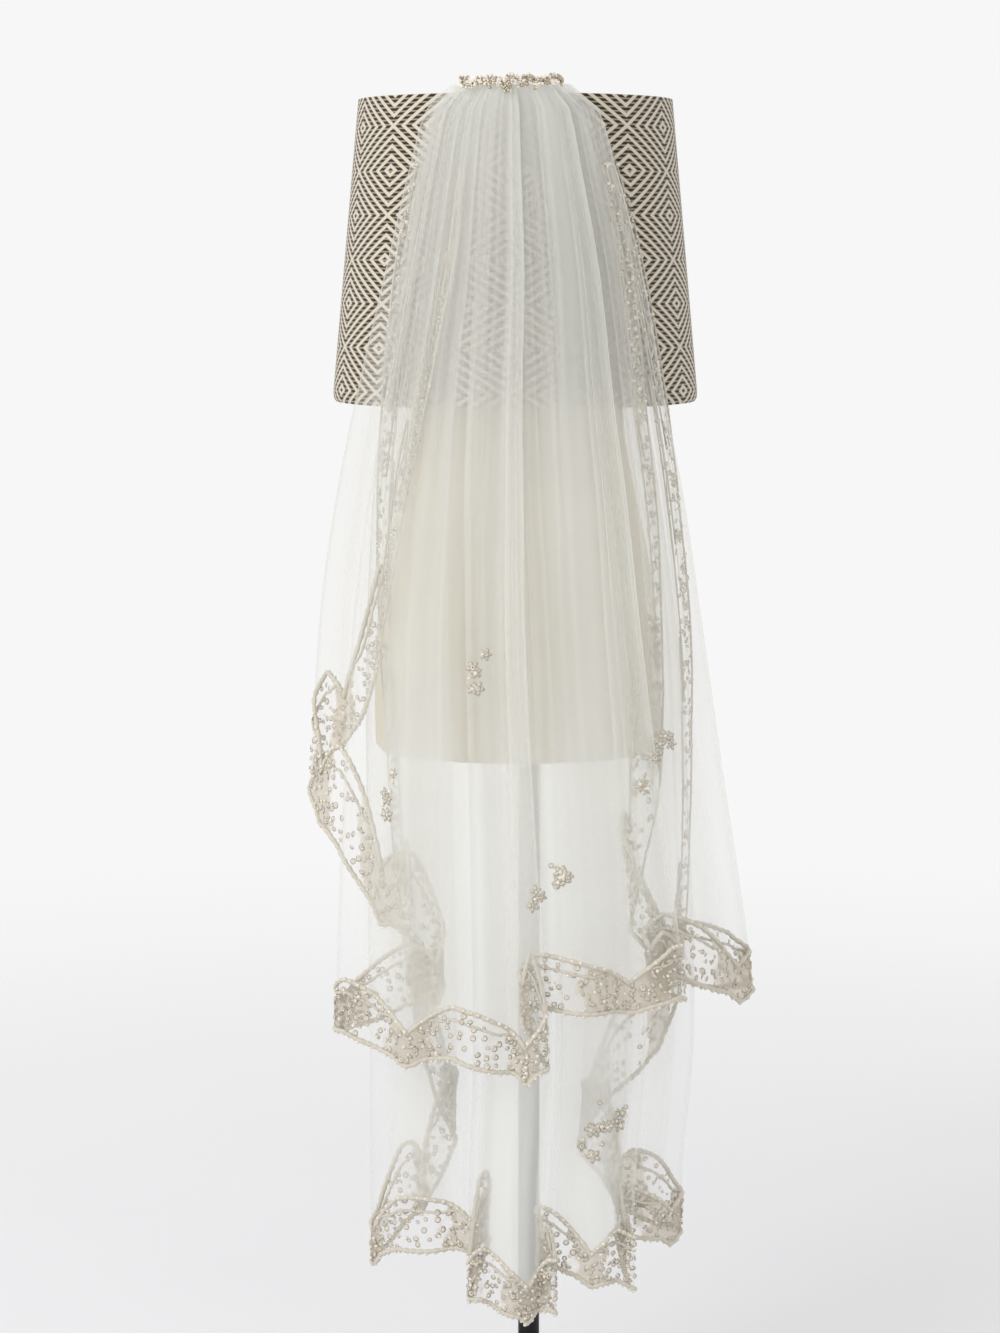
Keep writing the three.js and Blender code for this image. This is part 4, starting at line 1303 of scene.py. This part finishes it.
    def add_sequins(self, tier, sizes, material, random):
        """Sequins strewn in the open lobes and more thinly over the dense parts"""
        places = self.tipped(self.strewn(tier, random, "sequins"), random)
        size = sizes.sequin / 2 * random.uniform(*SEQUIN_SIZE, len(places[0]))
        points, faces = scatter(sequin_shape(), moved(places, 0, 0, STREWN["sequins"]["lift"] * MM), size)
        add_piece(f"lace_{tier.name}_sequins", points, faces, material)

    def tipped(self, places, random):
        """Places whose outward direction leans a little each its own way, as sewn sequins do"""
        origin, along, up, out = places
        lean = random.normal(0, SEQUIN_LEAN, (len(origin), 2))
        out = unit(out + along * lean[:, :1] + up * lean[:, 1:])
        along = unit(np.cross(up, out))
        return origin, along, np.cross(out, along), out


class VEIL_OT_sprigs(bpy.types.Operator):
    """Sew small sprigs of blossoms, pearls and sequins on the tiers"""

    bl_idname = "veil.sprigs"
    bl_label = "Bead sprigs"

    def execute(self, context):
        sizes = context.scene.veil_sizes
        random = np.random.default_rng(5)
        pearls = []
        sequins = []
        blossoms = []
        for tier, x, z, wide, tall in SPRIGS:
            count = int(SPRIG["fewest"] + wide * tall / SPRIG["area"])
            up = random.uniform(-0.5, 0.5, count)
            spread = random.uniform(-SPRIG["spread"], SPRIG["spread"], count)
            side = SPRIG["curve"] * np.sin(SPRIG["bend"] * up) + spread
            spots = self.on_cloth(f"tulle_{tier}_sheet", x + side * wide, z + up * tall)
            is_pearl = random.uniform(0, 1, count) < SPRIG["pearls"]
            pearls.append([values[is_pearl] for values in spots])
            sequins.append([values[~is_pearl] for values in spots])
            blossoms.append([values[::2] for values in spots])
        self.add_blossoms(all_places(blossoms), random)
        small_sequin = SPRIG_BEADS["sequin"] * sizes.sequin
        for name, shape, groups, scale, finish in (
            ("sprig_pearls", bead_shape(), pearls, sizes.pearl, "pearl_lacquer"),
            ("sprig_sequins", sequin_shape(), sequins, small_sequin, "foiled_sequin"),
        ):
            places = all_places(groups)
            size = scale / 2 * random.uniform(*SPRIG_BEADS["size"], len(places[0]))
            points, faces = scatter(shape, places, size)
            add_piece(name, points, faces, bpy.data.materials[finish])
        return {"FINISHED"}

    def add_blossoms(self, places, random):
        """Small blossoms of worked petals, each round a bead"""
        count = len(places[0])
        petals = BLOSSOM["petals"]
        turn = np.repeat(random.uniform(0, 2 * math.pi, count), petals) + np.tile(circle(petals), count)
        around = turned_about([np.repeat(values, petals, axis=0) for values in places], turn)
        size = np.repeat(random.uniform(*BLOSSOM["size"], count), petals) * MM
        places = moved(around, BLOSSOM["out"] * size, 0, BLOSSOM["lift"] * MM)
        add_petals("sprig_petals", BLOSSOM["stretch"], places, size)

    def on_cloth(self, sheet, x, z):
        """Places on the front of a tier's sheet straight behind points seen from the front"""
        mesh = bpy.data.objects[sheet].data
        points = [vertex.co for vertex in mesh.vertices]
        tree = BVHTree.FromPolygons(points, [polygon.vertices for polygon in mesh.polygons])
        origin = []
        out = []
        for a, b in zip(x, z):
            point, normal, _, _ = tree.ray_cast(Vector((a * MM, -1, b * MM)), Vector((0, 1, 0)))
            if point is None:
                raise RuntimeError(f"no cloth of {sheet} at {a:.0f}, {b:.0f} to sew a bead on")
            if normal.y > 0:
                normal = -normal
            origin.append(point + normal * SPRIG_BEADS["lift"] * MM)
            out.append(normal)
        out = np.array(out)
        along = unit(np.cross(np.array([[0, 0, 1.0]]), out))
        return np.array(origin), along, np.cross(out, along), out


class VEIL_OT_comb_band(bpy.types.Operator):
    """Sew the band of pearls and crystals along the comb and finish the comb itself"""

    bl_idname = "veil.comb_band"
    bl_label = "Comb and beaded band"

    def execute(self, context):
        colours = context.scene.veil_colours
        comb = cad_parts["comb"]
        comb.data.materials.clear()
        comb.data.materials.append(hard_finish("moulded_acrylic", colours.comb))
        ribbon = self.add_ribbon(knitted_jersey("satin_ribbon", colours.lace_net))
        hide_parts("bead_band")
        self.add_beads(hard_finish("foiled_crystal", colours.crystal), np.random.default_rng(23))
        return {"FINISHED"}

    def on_band(self, along, up, out):
        """Places on the band in metres from distances along it, heights and distances out of it"""
        angle = (COMB["x"] + along) / SHADE["top_radius"]
        zero = np.zeros_like(angle)
        outward = np.stack([np.sin(angle), -np.cos(angle), zero], axis=-1)
        sideways = np.stack([np.cos(angle), np.sin(angle), zero], axis=-1)
        middle = np.stack([zero + SHADE["x"], zero, zero + up], axis=-1)
        origin = outward * (zero + BAND["radius"] + out)[:, None] + middle
        upward = np.broadcast_to(np.array([0.0, 0, 1]), outward.shape)
        return origin * MM, sideways, upward, outward

    def add_ribbon(self, material):
        """The narrow ribbon that the beads are sewn to"""
        along = np.linspace(-0.5, 0.5, RIBBON_COLUMNS) * BAND["width"]
        points = np.stack([self.on_band(along, up, out)[0] for out, up in RIBBON], axis=1)
        corners = len(RIBBON)
        faces = flipped(grid_faces(len(along), corners, round_rows=True))
        faces.append(tuple(range(corners)))
        faces.append(tuple(reversed(range((len(along) - 1) * corners, len(along) * corners))))
        return add_piece("comb_ribbon", points, faces, material, smooth=False)

    def add_beads(self, crystal, random):
        """Pearls and crystals heaped along a wandering line, with a cluster that hangs lower in the middle"""
        count = HEAP["count"]
        along = random.uniform(-0.5, 0.5, count) * BAND["width"]
        cluster = hill(along, CLUSTER["width"])
        middle = 0.5 * (BAND["low"] + BAND["high"]) + waves(HEAP_MIDDLE, along)
        half = HEAP["half"] + waves(HEAP_SWELL, along) + CLUSTER["taller"] * cluster
        up = middle + random.uniform(-1, 1, count) * half - CLUSTER["lower"] * cluster
        places = self.on_band(along, up, random.uniform(*HEAP["lift"], count))
        radius = random.uniform(*HEAP["radius"], count) * MM
        is_pearl = random.uniform(0, 1, count) < HEAP["pearls"]
        for name, mask, material, smooth in (
            ("comb_pearls", is_pearl, bpy.data.materials["pearl_lacquer"], True),
            ("comb_crystals", ~is_pearl, crystal, False),
        ):
            points, faces = scatter(bead_shape(8, 5), [values[mask] for values in places], radius[mask])
            add_piece(name, points, faces, material, smooth)


class VEIL_OT_stage(bpy.types.Operator):
    """Set up the pale paper floor, the soft studio light and the camera"""

    bl_idname = "veil.stage"
    bl_label = "Studio stage"

    def execute(self, context):
        scene = context.scene
        stage = scene.veil_stage
        self.add_floor(stage.paper)
        self.add_light("key", stage.key_power)
        self.add_light("fill", stage.fill_power)
        world = bpy.data.worlds.new("studio")
        world.use_nodes = True
        world.node_tree.nodes["Background"].inputs["Color"].default_value = (1, 1, 1, 1)
        world.node_tree.nodes["Background"].inputs["Strength"].default_value = stage.sky_strength
        scene.world = world
        scene.view_settings.view_transform = "Standard"
        scene.cycles.transparent_max_bounces = SHEER_LAYERS
        self.add_camera(scene)
        return {"FINISHED"}

    def add_floor(self, paper):
        """A flat sheet of paper under the stand"""
        half = FLOOR["half"]
        corners = [(-half, -half, 0), (half, -half, 0), (half, half, 0), (-half, half, 0)]
        mesh = bpy.data.meshes.new("paper_floor")
        mesh.from_pydata(corners, [], [(0, 1, 2, 3)])
        mesh.materials.append(studio_paper(paper))
        floor_sheet = bpy.data.objects.new("paper_floor", mesh)
        bpy.context.scene.collection.objects.link(floor_sheet)

    def add_light(self, name, power):
        """A large soft light that faces a point"""
        place, target = (Vector(point) for point in LIGHTS[name])
        light = bpy.data.lights.new(name, "AREA")
        light.energy = power
        light.size = LIGHT_SIZE
        lamp = bpy.data.objects.new(name, light)
        lamp.location = place
        lamp.rotation_euler = (target - place).to_track_quat("-Z", "Y").to_euler()
        bpy.context.scene.collection.objects.link(lamp)

    def add_camera(self, scene):
        """The photograph's camera"""
        camera = bpy.data.cameras.new("camera")
        camera.lens = CAMERA["lens"]
        camera.sensor_width = CAMERA["sensor"]
        eye = bpy.data.objects.new("camera", camera)
        eye.location = CAMERA["place"]
        eye.rotation_euler = (math.radians(90 - CAMERA["tilt"]), 0, 0)
        scene.collection.objects.link(eye)
        scene.camera = eye


OPERATORS = (
    VEIL_OT_base_and_pole,
    VEIL_OT_form,
    VEIL_OT_shade,
    VEIL_OT_tulle,
    VEIL_OT_lace,
    VEIL_OT_sprigs,
    VEIL_OT_comb_band,
    VEIL_OT_stage,
)


class VEIL_PT_panel(bpy.types.Panel):
    """The veil's sizes, colours and pieces"""

    bl_idname = "VEIL_PT_panel"
    bl_label = "Bridal veil"
    bl_space_type = "VIEW_3D"
    bl_region_type = "UI"
    bl_category = "Veil"

    def draw(self, context):
        for group in (context.scene.veil_sizes, context.scene.veil_colours, context.scene.veil_stage):
            box = self.layout.box()
            for name in group.__annotations__:
                box.prop(group, name)
        for operator in OPERATORS:
            self.layout.operator(operator.bl_idname)


GROUPS = {"veil_sizes": VeilSizes, "veil_colours": VeilColours, "veil_stage": StageSettings}


def register():
    """Register the classes and hang the settings on the scene."""
    for cls in (*GROUPS.values(), *OPERATORS, VEIL_PT_panel):
        bpy.utils.register_class(cls)
    for name, group in GROUPS.items():
        setattr(bpy.types.Scene, name, bpy.props.PointerProperty(type=group))


def unregister():
    """Take the settings off the scene and unregister the classes."""
    for name in GROUPS:
        delattr(bpy.types.Scene, name)
    for cls in reversed((*GROUPS.values(), *OPERATORS, VEIL_PT_panel)):
        bpy.utils.unregister_class(cls)


def main():
    """Build every piece in order."""
    register()
    bpy.ops.veil.base_and_pole()
    bpy.ops.veil.form()
    bpy.ops.veil.shade()
    bpy.ops.veil.tulle()
    bpy.ops.veil.lace()
    bpy.ops.veil.sprigs()
    bpy.ops.veil.comb_band()
    bpy.ops.veil.stage()


if __name__ == "__main__":
    main()
